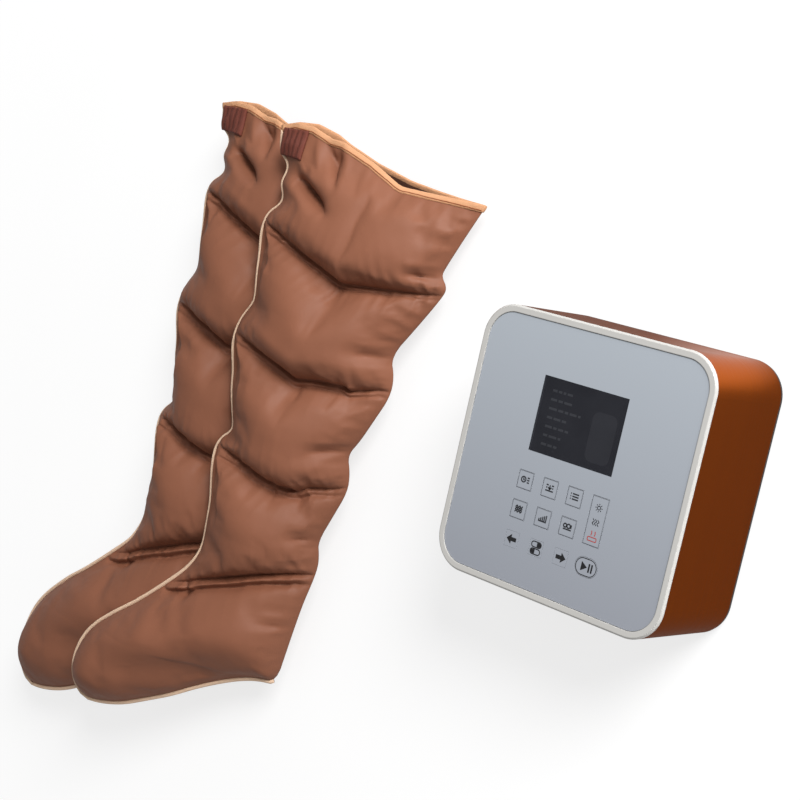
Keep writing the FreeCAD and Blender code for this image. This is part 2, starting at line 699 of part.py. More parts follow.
def distributor_body():
    """Valve housing with the rotor's chamber and the shaft's bearing."""
    top = VALVE_Z + VALVE_T
    body = box(VALVE_X, VALVE_Y, VALVE_W, VALVE_H, VALVE_Z, top)
    depth = ROTOR_T + 2 * ROTOR_CLEAR
    chamber = disc(VALVE_X, VALVE_Y, ROTOR_R + ROTOR_CLEAR, top - VALVE_CAP_T - depth, top - VALVE_CAP_T)
    body = body.cut(chamber)
    return body.cut(disc(VALVE_X, VALVE_Y, ROTOR_SHAFT_R + SHAFT_CLEAR, top - VALVE_CAP_T, top))


def distributor_rotor():
    """Valve disc with its drive shaft and the notch that opens one outlet after another."""
    top = VALVE_Z + VALVE_T
    disc_z = top - VALVE_CAP_T - ROTOR_CLEAR - ROTOR_T
    rotor = disc(VALVE_X, VALVE_Y, ROTOR_R, disc_z, disc_z + ROTOR_T)
    shaft = disc(VALVE_X, VALVE_Y, ROTOR_SHAFT_R, disc_z + ROTOR_T, top + SHAFT_IN_MOTOR)
    rotor = fuse([rotor, shaft])
    notch = box(VALVE_X - ROTOR_R, VALVE_Y, NOTCH_L, NOTCH_W, disc_z, disc_z + ROTOR_T)
    return rotor.cut(notch)


def distributor_motor():
    """Slow geared motor on the valve housing."""
    top = VALVE_Z + VALVE_T
    motor = box(VALVE_X, VALVE_Y, MOTOR_S, MOTOR_S, top, top + MOTOR_H)
    bore_top = top + SHAFT_IN_MOTOR + SHAFT_END_GAP
    return motor.cut(disc(VALVE_X, VALVE_Y, ROTOR_SHAFT_R + SHAFT_CLEAR, top, bore_top))


def port_manifold():
    """Block behind both sockets, joining their ports to the outlet tubes."""
    x = SOCKET_BACK + MANIFOLD_T / 2
    h = SOCKET_Y[0] - SOCKET_Y[1] + SOCKET_W
    return box(x, VALVE_Y, MANIFOLD_T, h, SIDE_Z - SOCKET_H / 2, SIDE_Z + SOCKET_H / 2)


def outlet_ribbon():
    """Flat ribbon of five tubes from the valve to the manifold."""
    x0 = SOCKET_BACK + MANIFOLD_T
    return side_box(VALVE_Y, SIDE_Z, RIBBON_W, RIBBON_T, x0, x0 + RIBBON_L)


# ---- boards ----

def board(cx, cy, w, h, blocks):
    """A board on its stands and the blocks soldered to it."""
    top = BOARD_Z + BOARD_T
    pieces = [box(cx, cy, w, h, BOARD_Z, top)]
    for dx, dy, bw, bh, height in blocks:
        pieces.append(box(cx + dx, cy + dy, bw, bh, top, top + height))
    return fuse(pieces)


def power_supply_board():
    """Power supply: board, transformer, rectifier, heat sink and capacitor."""
    dx, dy, r, height = CAPACITOR
    top = BOARD_Z + BOARD_T
    capacitor = disc(SUPPLY_X + dx, SUPPLY_Y + dy, r, top, top + height)
    return fuse([board(SUPPLY_X, SUPPLY_Y, SUPPLY_W, SUPPLY_H, SUPPLY_BLOCKS), capacitor])


# ---- sleeves ----

class Sleeve:
    """A sleeve's own flat plan and how it lies on the table."""

    def __init__(self, name, heel, lean, tilt, droop, length, foot, cuff, top_lean, under_lean):
        self.name = name
        self.droop = droop
        self.length = length
        self.cuff = cuff
        self.foot = foot
        self.top_lean = top_lean
        self.under_lean = under_lean
        turn = FreeCAD.Rotation(V(0, 0, 1), -lean) * FreeCAD.Rotation(V(0, 1, 0), tilt)
        self.placement = FreeCAD.Placement(V(*heel), turn)

    def plan(self, across, along):
        """Across and along of a station's end, at this sleeve's own length."""
        if across > FOOT_FROM:
            across = FOOT_FROM + (across - FOOT_FROM) * self.foot
        if along > CUFF_FROM:
            along = CUFF_FROM + (along - CUFF_FROM) * self.cuff
        return across, along * self.length * (self.foot if along < 0 else 1.0)

    def point(self, across, along, rise):
        """A point of the plan, raised off its middle surface, as it lies on the table."""
        sag = self.droop * (max(0.0, across - DROOP_FROM) / 100.0) ** 2
        at = self.placement.multVec(V(-across, along, rise - sag))
        if at.z < PRESSED_Z:
            at.z = PRESSED_Z
        return at


UPPER = Sleeve("upper_sleeve", UPPER_HEEL, UPPER_LEAN, UPPER_TILT, UPPER_DROOP, 1.0, 1.0,
               1.0, 1.0, UPPER_UNDER_LEAN)
LOWER = Sleeve("lower_sleeve", LOWER_HEEL, LOWER_LEAN, LOWER_TILT, LOWER_DROOP, LOWER_LENGTH,
               LOWER_FOOT, LOWER_CUFF, LOWER_TOP_LEAN, 1.0)

SPANS = (0.0, 0.07, 0.22, 0.41, 0.6, 0.78, 0.93, 1.0)
CAVITY_SPANS = (0.0, 0.3, 0.7, 1.0)


def swell(share, lean=1.0):
    """Height of the inflated sheet across the sleeve, from 0 at an edge to 1."""
    return math.sin(math.pi * share ** lean) ** SWELL_POWER if 0 < share < 1 else 0.0


def ring(sleeve, station, spans=SPANS, margin=0.0, height=1.0, grow=0.0):
    """Points round a lens-shaped section between calf fold and shin seam."""
    shin_a, shin_l = sleeve.plan(station[0], station[1])
    calf_a, calf_l = sleeve.plan(station[2], station[3])
    over = [(1, sleeve.top_lean, s) for s in spans]
    under = [(-1, sleeve.under_lean, s) for s in spans[-2:0:-1]]
    points = []
    for side, lean, s in over + under:
        t = margin + s * (1 - 2 * margin)
        across = calf_a + t * (shin_a - calf_a) + (2 * s - 1) * grow
        along = calf_l + t * (shin_l - calf_l)
        rise = side * swell(s, lean) * (station[4] * height + grow)
        points.append(sleeve.point(across, along, rise))
    return points


def middle(points):
    """Mean of some points."""
    total = V(0, 0, 0)
    for point in points:
        total = total + point
    return total * (1.0 / len(points))


def skin(rings):
    """Solid between rings of points, skinned with flat triangles and closed at both ends."""
    corners_ = []
    for here, there in zip(rings, rings[1:]):
        for i in range(len(here)):
            j = (i + 1) % len(here)
            corners_.append((here[i], here[j], there[j]))
            corners_.append((here[i], there[j], there[i]))
    for end in (rings[0], rings[-1]):
        centre = middle(end)
        for i in range(len(end)):
            corners_.append((centre, end[i], end[(i + 1) % len(end)]))
    faces = [Part.Face(Part.makePolygon([a, b, c, a])) for a, b, c in corners_]
    shell = Part.Shell(faces)
    shell.sewShape()
    solid = Part.Solid(shell)
    if solid.Volume < 0:
        solid.reverse()
    return solid


def beyond_rim(distance):
    """The rim's station, moved out along the leg."""
    return (RIM[0], RIM[1] + distance, RIM[2], RIM[3] + distance, RIM[4])


def leg_cavity(sleeve):
    """Flat cavity for the leg, from beyond the rim into the foot."""
    stations = [beyond_rim(BINDING_L)]
    for part in CHAMBERS:
        stations += part[:-1]
    stations += FOOT[:FOOT_CAVITY_STATIONS]
    return skin([ring(sleeve, s, CAVITY_SPANS, SKIN, CAVITY_T) for s in stations])


def chamber(sleeve, stations):
    """Inflated chamber through some stations, before the leg cavity is cut."""
    return skin([ring(sleeve, s) for s in stations])


def rim_binding(sleeve):
    """Binding round the open rim."""
    ends = [beyond_rim(SEAM_GAP), beyond_rim(BINDING_L)]
    past = [beyond_rim(-BINDING_L), beyond_rim(2 * BINDING_L)]
    outer = skin([ring(sleeve, s, SPANS, 0, 1, BINDING_OVER) for s in ends])
    inner = skin([ring(sleeve, s, CAVITY_SPANS, SKIN / 2, RIM_CAVITY_T) for s in past])
    return outer.cut(inner)


def seam_path():
    """Seam line down the shin, round the toe and back along the sole to the heel."""
    path = []
    for stations in CHAMBERS + (FOOT,):
        for station in stations:
            if (station[0], station[1]) not in path:
                path.append((station[0], station[1]))
    sole = [(station[2], station[3]) for station in reversed(FOOT[-SOLE_COUNT:])]
    return path + sole


def piping(sleeve):
    """Flat piping along the seam, a hair clear of the chambers."""
    path = [sleeve.plan(across, along) for across, along in seam_path()]
    rings = []
    for i, (across, along) in enumerate(path):
        before = path[max(i - 1, 0)]
        after = path[min(i + 1, len(path) - 1)]
        step_a = after[0] - before[0]
        step_l = after[1] - before[1]
        size = math.hypot(step_a, step_l)
        out_a, out_l = -step_l / size, step_a / size
        near = SEAM_GAP
        far = SEAM_GAP + PIPING_W
        square = ((near, -1), (far, -1), (far, 1), (near, 1))
        rings.append([sleeve.point(across + out_a * d, along + out_l * d, s * PIPING_T / 2)
                      for d, s in square])
    return skin(rings)


def surface(sleeve, share, along_share, side):
    """Point of the first chamber's skin between the rim and the next station."""
    lean = sleeve.top_lean if side > 0 else sleeve.under_lean
    low = max(s for s in SPANS[:-1] if s <= share)
    high = min(s for s in SPANS if s > low)
    part = (share - low) / (high - low)
    height = swell(low, lean) * (1 - part) + swell(high, lean) * part
    ends = []
    for station in CHAMBERS[0][:2]:
        shin_a, shin_l = sleeve.plan(station[0], station[1])
        calf_a, calf_l = sleeve.plan(station[2], station[3])
        across = calf_a + share * (shin_a - calf_a)
        along = calf_l + share * (shin_l - calf_l)
        ends.append(sleeve.point(across, along, side * height * station[4]))
    return ends[0] * (1 - along_share) + ends[1] * along_share


def seat(sleeve, shape, thickness, shares, along_shares, side):
    """Lay a block, drawn about its middle, on the skin between the given shares."""
    steps = [i / SEAT_STEPS for i in range(SEAT_STEPS + 1)]
    spread = shares[1] - shares[0]
    run = along_shares[1] - along_shares[0]
    grid = [[surface(sleeve, shares[0] + a * spread, along_shares[0] + b * run, side)
             for a in steps] for b in steps]
    across = grid[0][0] + grid[-1][0] - grid[0][-1] - grid[-1][-1]
    along = grid[0][0] + grid[0][-1] - grid[-1][0] - grid[-1][-1]
    across.normalize()
    normal = across.cross(along).normalize()
    along = normal.cross(across)
    centre = middle([grid[0][0], grid[0][-1], grid[-1][0], grid[-1][-1]])
    out = side if normal.z > 0 else -side
    lift = max((point - centre).dot(normal) * out for row in grid for point in row)
    at = centre + normal * (out * (lift + SEAT_LIFT + thickness / 2))
    turn = FreeCAD.Rotation(across, along, normal, "ZXY")
    shape.Placement = FreeCAD.Placement(at, turn)
    return shape


def tab(sleeve):
    """Folded tab sewn at the rim, on the shin side."""
    block = plate(TAB_W, TAB_L, TAB_R, -TAB_T / 2, TAB_T / 2)
    return seat(sleeve, block, TAB_T, TAB_SHARES, TAB_RUN, 1)


def hose_port(sleeve, shares):
    """Five-way port under the rim, where the hose plugs in."""
    block = box(0, 0, HOSE_PORT_W, HOSE_PORT_L, -HOSE_PORT_T / 2, HOSE_PORT_T / 2)
    for i in range(PORT_COUNT):
        x = (i - (PORT_COUNT - 1) / 2) * HOSE_CELL_PITCH
        y = (HOSE_PORT_L - HOSE_CELL_D) / 2
        block = block.cut(box(x, y, HOSE_CELL, HOSE_CELL_D, -HOSE_CELL / 2, HOSE_CELL / 2))
    return seat(sleeve, block, HOSE_PORT_T, shares, HOSE_RUN, -1)


# ---- all nodes ----

def pump_parts():
    """Every piece of the pump by name."""
    parts = {
        "front_bezel": front_bezel(),
        "front_panel": front_panel(),
        "lcd_lens": lcd_lens(),
        "lcd_module": box(WINDOW_X, WINDOW_Y, LCD_W, LCD_H, BOARD_TOP, PANEL_Z),
        "display_board": display_board(),
        "key_switches": key_switches(),
        "wrap_shell": wrap_shell(),
        "back_cover": back_cover(),
        "feet": feet(),
        "cover_screws": cover_screws(),
        "air_socket_a": air_socket(SOCKET_Y[0]),
        "air_socket_b": air_socket(SOCKET_Y[1]),
        "power_inlet": power_inlet(),
        "power_switch_frame": power_switch_frame(),
        "power_rocker": power_rocker(),
        "pump_base": pump_base(),
        "pump_mounts": pump_mounts(),
        "pump_coils": pump_coils(),
        "pump_shuttle": pump_shuttle(),
        "pump_head_left": pump_head(-1),
        "pump_head_right": pump_head(1),
        "pump_diaphragm_left": pump_diaphragm(-1),
        "pump_diaphragm_right": pump_diaphragm(1),
        "air_line": air_line(),
        "distributor_body": distributor_body(),
        "distributor_rotor": distributor_rotor(),
        "distributor_motor": distributor_motor(),
        "port_manifold": port_manifold(),
        "outlet_ribbon": outlet_ribbon(),
        "power_supply_board": power_supply_board(),
        "main_board": board(0, MAIN_Y, MAIN_W, MAIN_H, MAIN_BLOCKS),
    }
    for name, x, y, w, h, gap, pill in key_table():
        parts[name] = key_cap(x, y, w, h, pill)
    return parts


def sleeve_parts(sleeve, port_shares):
    """Every piece of one sleeve by name."""
    parts = {}
    cavity = leg_cavity(sleeve)
    for i, stations in enumerate(CHAMBERS):
        parts["%s_chamber_%d" % (sleeve.name, i + 1)] = chamber(sleeve, stations).cut(cavity)
    parts[sleeve.name + "_foot"] = chamber(sleeve, FOOT).cut(cavity)
    parts[sleeve.name + "_rim_binding"] = rim_binding(sleeve)
    parts[sleeve.name + "_piping"] = piping(sleeve)
    parts[sleeve.name + "_tab"] = tab(sleeve)
    parts[sleeve.name + "_hose_port"] = hose_port(sleeve, port_shares)
    return parts


os.makedirs("parts", exist_ok=True)
PARTS = pump_parts()
PARTS.update(sleeve_parts(UPPER, UPPER_PORT))
PARTS.update(sleeve_parts(LOWER, LOWER_PORT))
for node, shape in PARTS.items():
    shape.exportStep("parts/%s.step" % node)
print(len(PARTS), "parts written")
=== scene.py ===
import json
import math

import bpy
import numpy as np
from mathutils import Matrix, Vector

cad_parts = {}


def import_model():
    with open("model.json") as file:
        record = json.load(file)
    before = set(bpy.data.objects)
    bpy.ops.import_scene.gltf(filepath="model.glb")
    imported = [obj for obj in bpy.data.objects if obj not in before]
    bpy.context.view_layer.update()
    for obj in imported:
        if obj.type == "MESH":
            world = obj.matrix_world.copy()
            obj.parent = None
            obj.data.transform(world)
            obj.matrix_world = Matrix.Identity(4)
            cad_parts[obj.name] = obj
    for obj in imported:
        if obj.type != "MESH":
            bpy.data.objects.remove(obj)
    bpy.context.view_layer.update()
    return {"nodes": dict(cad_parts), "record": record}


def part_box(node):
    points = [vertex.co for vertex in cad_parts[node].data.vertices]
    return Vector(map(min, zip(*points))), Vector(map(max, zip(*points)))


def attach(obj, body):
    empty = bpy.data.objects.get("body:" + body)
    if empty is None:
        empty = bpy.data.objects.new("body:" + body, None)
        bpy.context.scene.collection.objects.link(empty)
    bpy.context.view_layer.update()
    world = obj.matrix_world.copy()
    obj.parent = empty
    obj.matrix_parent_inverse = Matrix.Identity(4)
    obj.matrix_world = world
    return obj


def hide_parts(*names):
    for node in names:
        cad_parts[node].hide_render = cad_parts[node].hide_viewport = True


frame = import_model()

MM = 0.001


def new_object(name, data):
    """An object of the scene that shows some data."""
    obj = bpy.data.objects.new(name, data)
    bpy.context.scene.collection.objects.link(obj)
    return obj


# ---- colours and materials ----

def srgb(red, green, blue):
    """A colour written as it should look, as the linear colour of a shader."""
    out = []
    for c in (red, green, blue):
        c = c / 255
        out.append(c / 12.92 if c <= 0.04045 else ((c + 0.055) / 1.055) ** 2.4)
    return (*out, 1.0)


def shade(colour, factor):
    """A linear colour made lighter or darker."""
    return (*[min(1.0, c * factor) for c in colour[:3]], 1.0)


def fill(tree, node, inputs):
    """Gives each named input of a node its value, or the link that feeds it."""
    for name, value in inputs.items():
        if isinstance(value, bpy.types.NodeSocket):
            tree.links.new(value, node.inputs[name])
        else:
            node.inputs[name].default_value = value
    return node


def add(tree, kind, inputs):
    """A new node in a tree."""
    return fill(tree, tree.nodes.new(kind), inputs)


def new_material(name):
    """A material and its node tree."""
    mat = bpy.data.materials.new(name)
    mat.use_nodes = True
    return mat, mat.node_tree


def main_shader(tree, inputs):
    """Values and links of the material's own shader."""
    fill(tree, tree.nodes["Principled BSDF"], inputs)


def coords(tree, scale=(1, 1, 1)):
    """Object coordinates, in metres, stretched by a scale."""
    place = add(tree, "ShaderNodeTexCoord", {}).outputs["Object"]
    mapping = add(tree, "ShaderNodeMapping", {"Vector": place, "Scale": scale})
    return mapping.outputs["Vector"]


def noise(tree, vector, scale, detail=3.0):
    """Clouds of a value from 0 to 1."""
    return add(tree, "ShaderNodeTexNoise", {
        "Vector": vector, "Scale": scale, "Detail": detail, "Roughness": 0.55}).outputs["Fac"]


def weave(tree, vector, scale, distortion):
    """Fine waves, as of threads, from 0 to 1."""
    return add(tree, "ShaderNodeTexWave", {
        "Vector": vector, "Scale": scale, "Distortion": distortion}).outputs["Fac"]


def ramp(tree, value, *stops):
    """Value to colour, between two stops."""
    node = add(tree, "ShaderNodeValToRGB", {"Fac": value})
    for element, (place, colour) in zip(node.color_ramp.elements, stops):
        element.position = place
        element.color = colour
    return node.outputs["Color"]


def mottled(tree, value, colour, change):
    """A colour that is darker and lighter by a share where a value is low and high."""
    return ramp(tree, value, (0.3, shade(colour, 1 - change)), (0.7, shade(colour, 1 + change)))


def spread(tree, value, low, high, start=0.3, end=0.7):
    """Value from start..end to low..high."""
    return add(tree, "ShaderNodeMapRange", {
        "Value": value, "From Min": start, "From Max": end,
        "To Min": low, "To Max": high}).outputs["Result"]


def bump(tree, height, distance, strength, normal=None):
    """Shading of a relief, over another relief or a rounded edge."""
    node = add(tree, "ShaderNodeBump", {
        "Height": height, "Distance": distance, "Strength": strength})
    if normal is not None:
        fill(tree, node, {"Normal": normal})
    return node.outputs["Normal"]


def bevel(tree, radius):
    """Rounds the look of an edge."""
    node = add(tree, "ShaderNodeBevel", {"Radius": radius})
    node.samples = 6
    return node.outputs["Normal"]


def plain(name, colour, rough, metallic=0.0, grain=900.0, depth=0.00003, mottle=0.03,
          round_edge=0.0004):
    """Moulded or painted surface with a fine grain, faint mottling and rounded edges."""
    mat, tree = new_material(name)
    at = coords(tree)
    fine = noise(tree, at, scale=grain, detail=2.0)
    main_shader(tree, {
        "Base Color": mottled(tree, noise(tree, at, scale=14.0, detail=4.0), colour, mottle),
        "Roughness": spread(tree, fine, rough - 0.04, rough + 0.04),
        "Normal": bump(tree, fine, depth, 0.6, bevel(tree, round_edge)),
        "Metallic": metallic,
    })
    return mat


def anodised(name):
    """Brushed and anodised aluminium, brush lines running round the casing."""
    mat, tree = new_material(name)
    lines = noise(tree, coords(tree, (6, 6, 900)), scale=1.0)
    main_shader(tree, {
        "Base Color": ramp(tree, lines, (0.25, srgb(111, 50, 9)), (0.75, srgb(121, 57, 12))),
        "Roughness": spread(tree, lines, 0.42, 0.52),
        "Normal": bump(tree, lines, 0.00002, 0.5, bevel(tree, 0.0004)),
        "Metallic": 1.0,
        "Specular Tint": srgb(205, 200, 198),
    })
    return mat


def panel_painted_light(name):
    """Satin face panel in painted light: grey-blue for white plastic in shade, paler towards its
    top.
    """
    mat, tree = new_material(name)
    at = coords(tree)
    # Painted light: the panel and its keys are paler towards their top, and grey-blue as white
    # plastic in shade.
    height = add(tree, "ShaderNodeSeparateXYZ", {"Vector": at}).outputs["Y"]
    up = spread(tree, height, 0.0, 1.0, -0.13, 0.13)
    fine = noise(tree, at, scale=1100.0, detail=2.0)
    main_shader(tree, {
        "Base Color": ramp(tree, up, (0.0, srgb(152, 156, 165)), (1.0, srgb(174, 181, 189))),
        "Roughness": spread(tree, fine, 0.36, 0.46),
        "Normal": bump(tree, fine, 0.00002, 0.5, bevel(tree, 0.0001)),
    })
    return mat


def lens_finish(name):
    """Smoked display window: see-through, glossy, with a little dust."""
    mat, tree = new_material(name)
    cloud = noise(tree, coords(tree), scale=30.0, detail=4.0)
    main_shader(tree, {
        "Base Color": ramp(tree, cloud, (0.3, srgb(44, 45, 52)), (0.7, srgb(52, 53, 60))),
        "Roughness": spread(tree, cloud, 0.16, 0.24),
        "Alpha": 0.62,
        "Specular IOR Level": 0.3,
    })
    return mat


def nylon(name, colour):
    """Coated nylon: satin, with a fine weave and faint cloudiness."""
    mat, tree = new_material(name)
    at = coords(tree)
    creep = noise(tree, at, scale=70.0)
    soft = bump(tree, creep, 0.0006, 0.35)
    main_shader(tree, {
        "Base Color": mottled(tree, noise(tree, at, scale=9.0, detail=5.0), colour, 0.05),
        "Roughness": spread(tree, creep, 0.52, 0.60),
        "Normal": bump(tree, weave(tree, at, 420.0, 1.5), 0.00004, 0.4, soft),
        "Specular IOR Level": 0.23,
    })
    return mat


def woven(name, colour, pitch=1100.0, depth=0.0001):
    """Tape or webbing with a visible weave."""
    mat, tree = new_material(name)
    at = coords(tree)
    threads = weave(tree, at, pitch, 2.0)
    main_shader(tree, {
        "Base Color": ramp(tree, threads, (0.0, shade(colour, 0.86)), (1.0, shade(colour, 1.1))),
        "Roughness": spread(tree, noise(tree, at, scale=60.0), 0.69, 0.81),
        "Normal": bump(tree, threads, depth, 0.7),
    })
    return mat


def ink(name, red, green, blue):
    """Flat printed colour."""
    return plain(name, srgb(red, green, blue), 0.6, round_edge=0.0001)


WHITE = plain("white_plastic", srgb(197, 195, 191), 0.34, mottle=0.015, round_edge=0.0012)
# Face panel and keys: painted shade and a painted lighter top.
PANEL = panel_painted_light("panel_grey")
KEYCAP = panel_painted_light("key_rubber")
LENS = lens_finish("lens")
LCD = plain("lcd_dark", srgb(42, 42, 46), 0.4)
BLACK = plain("black_plastic", srgb(34, 34, 35), 0.5)
RUBBER = plain("black_rubber", srgb(30, 30, 30), 0.8, grain=500.0, depth=0.00008)
ORANGE = anodised("orange_aluminium")
STEEL = plain("steel", srgb(170, 172, 176), 0.35, metallic=1.0, grain=1400.0)
MAGNET = plain("magnet_steel", srgb(120, 122, 126), 0.4, metallic=1.0)
COPPER = plain("coil_copper", srgb(176, 100, 60), 0.4, metallic=1.0)
BOARD = plain("circuit_board", srgb(30, 96, 52), 0.5, mottle=0.12)
SILICONE = plain("silicone", srgb(214, 214, 210), 0.5)
INK = ink("ink", 38, 39, 44)
PALE_INK = ink("pale_ink", 104, 107, 114)
DARK_INK = ink("dark_ink", 20, 20, 23)
RED_INK = ink("red_ink", 176, 52, 46)
GHOST = ink("ghost_segments", 106, 108, 112)
GHOST_AREA = ink("ghost_area", 62, 63, 67)
NYLON = nylon("sleeve_nylon", srgb(135, 86, 64))
# The inner bag's nylon is darkened: painted shade inside the mouth.
LINING_PAINTED_SHADE = nylon("sleeve_lining_painted_shade", srgb(84, 56, 46))
BINDING = woven("orange_binding", srgb(212, 156, 114))
# Thread colour darkened with painted shade of the tape's lower edge.
STITCH_AND_SHADE = woven("binding_stitch_and_shade", srgb(150, 84, 44), 900.0, 0.0002)
PIPING = woven("cream_piping", srgb(230, 197, 168))
TAB = woven("tab_webbing", srgb(104, 46, 30), 700.0, 0.0002)

BY_SLOT = {
    "white_plastic": WHITE, "panel_grey": PANEL, "key_rubber": KEYCAP, "lens_clear": LENS,
    "lcd_dark": LCD, "circuit_board": BOARD, "black_plastic": BLACK,
    "orange_aluminium": ORANGE, "black_rubber": RUBBER, "silicone": SILICONE,
    "steel": STEEL, "magnet_steel": MAGNET, "coil_copper": COPPER,
    "sleeve_nylon": NYLON, "orange_binding": BINDING, "cream_piping": PIPING,
    "tab_webbing": TAB,
}


def dress_cad():
    """Gives each CAD node the finish of its slot."""
    for part in frame["record"]["subparts"]:
        node = frame["nodes"][part["node"]]
        node.data.materials.clear()
        node.data.materials.append(BY_SLOT[part["material_slot"]])


# ---- meshes ----

def mesh_object(name, points, faces, material, smooth=True):
    """An object made of points and faces, in metres."""
    mesh = bpy.data.meshes.new(name)
    mesh.from_pydata([tuple(p) for p in points], [], faces)
    mesh.materials.append(material)
    if smooth:
        mesh.polygons.foreach_set("use_smooth", [True] * len(mesh.polygons))
    mesh.update()
    return new_object(name, mesh)


def unit(vectors):
    """Vectors made one long."""
    return vectors / np.maximum(np.linalg.norm(vectors, axis=-1, keepdims=True), 1e-9)


def tube_faces(rings, per_ring, closed):
    """Quads between rings of points, with flat ends unless the path is closed."""
    faces = []
    for i in range(rings if closed else rings - 1):
        a, b = i * per_ring, (i + 1) % rings * per_ring
        for j in range(per_ring):
            k = (j + 1) % per_ring
            faces.append((a + j, a + k, b + k, b + j))
    if not closed:
        faces.append(tuple(reversed(range(per_ring))))
        last = (rings - 1) * per_ring
        faces.append(tuple(range(last, last + per_ring)))
    return faces


def tube(name, rings, closed, material):
    """A tube through rings of points."""
    faces = tube_faces(rings.shape[0], rings.shape[1], closed)
    return mesh_object(name, rings.reshape(-1, 3), faces, material)


def sheet_faces(grid, flipped):
    """Quads of a sheet, from the numbers of its points in rows and columns."""
    a, b, c, d = grid[:-1, :-1], grid[1:, :-1], grid[1:, 1:], grid[:-1, 1:]
    quads = np.stack([a, d, c, b] if flipped else [a, b, c, d], axis=-1).reshape(-1, 4)
    return [tuple(int(i) for i in quad) for quad in quads]


def oval(centre, wide, high, count, square=1.0):
    """A closed section, in metres, round at square 1 and boxier below it."""
    def bulge(value):
        return math.copysign(abs(value) ** square, value)
    return [((centre + wide * bulge(math.cos(a))) * MM, high * bulge(math.sin(a)) * MM)
            for a in np.linspace(0, 2 * math.pi, count, endpoint=False)]


def sweep(path, out, section, closed):
    """Points of a section carried along a path, its first axis along out."""
    rings = []
    n = len(path)
    for i in range(n):
        before = path[i - 1] if closed or i > 0 else path[i]
        after = path[(i + 1) % n] if closed or i < n - 1 else path[i]
        tangent = unit(after - before)
        e1 = unit(out[i] - tangent * (out[i] @ tangent))
        e2 = np.cross(tangent, e1)
        rings.append([path[i] + e1 * a + e2 * b for a, b in section])
    return np.array(rings)


# ---- printed marks of the face ----
# Sizes are in millimetres.

HAIRLINE, THIN, MEDIUM, BROAD = 0.5, 0.8, 1.0, 1.3
INK_LIFT = 0.00008  # a mark lies this far above its key, in metres
MENU_LIFT = 0.00006  # and the menu this far inside its window
ICON_SIZE = 0.94
KEY_BORDER = (16.2, 16.2)
HEAT_BORDER = (17.2, 44.2)
PLAY_BORDER = (22.6, 15.4)
MENU = ((5, 4, 3, 6), (7, 5, 9), (9, 6, 4, 8, 3), (6, 8, 5), (8, 4, 6, 4), (5, 9, 3), (6, 5, 4))
MENU_PITCH, MENU_GAP, MENU_STROKE = 8.4, 1.6, 2.2


def ribbon(path, width, closed=False):
    """Flat stroke along a path: two edge points at each corner, mitred."""
    pts = np.array(path, float)
    n = len(pts)
    points = []
    for i in range(n):
        before = pts[i] - pts[i - 1] if closed or i > 0 else None
        after = pts[(i + 1) % n] - pts[i] if closed or i < n - 1 else before
        d0, d1 = unit(after if before is None else before), unit(after)
        n0, n1 = np.array((-d0[1], d0[0])), np.array((-d1[1], d1[0]))
        mid = unit(n0 + n1)
        reach = mid * width / 2 / max(mid @ n0, 0.4)
        points += [pts[i] + reach, pts[i] - reach]
    faces = []
    for i in range(n if closed else n - 1):
        j = (i + 1) % n
        faces.append((2 * i, 2 * i + 1, 2 * j + 1, 2 * j))
    return points, faces


def blob(path):
    """Filled flat shape."""
    return [np.array(p, float) for p in path], [tuple(range(len(path)))]


def mark(name, shapes, z, material, body):
    """Thin printed mark made of flat shapes, facing up, on a body."""
    points, faces = [], []
    for shape_points, shape_faces in shapes:
        start = len(points)
        points += [(p[0] * MM, p[1] * MM, z) for p in shape_points]
        for face in shape_faces:
            ids = [start + i for i in face]
            turn = sum(points[a][0] * points[b][1] - points[b][0] * points[a][1]
                       for a, b in zip(ids, ids[1:] + ids[:1]))
            faces.append(tuple(ids if turn > 0 else reversed(ids)))
    obj = mesh_object(name, points, faces, material, smooth=False)
    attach(obj, body)


def round_rect(x, y, w, h, r, steps):
    """Corner points of a rounded rectangle."""
    out = []
    for start, a, b in ((0, 1, 1), (90, -1, 1), (180, -1, -1), (270, 1, -1)):
        out += circle(x + a * (w / 2 - r), y + b * (h / 2 - r), r, steps, start, 90)
    return out


def circle(x, y, r, steps=20, start=0, turn=360):
    """Points of a circle, or of an arc with both its ends."""
    return [(x + r * math.cos(math.radians(start + turn * i / steps)),
             y + r * math.sin(math.radians(start + turn * i / steps)))
            for i in range(steps + (turn != 360))]


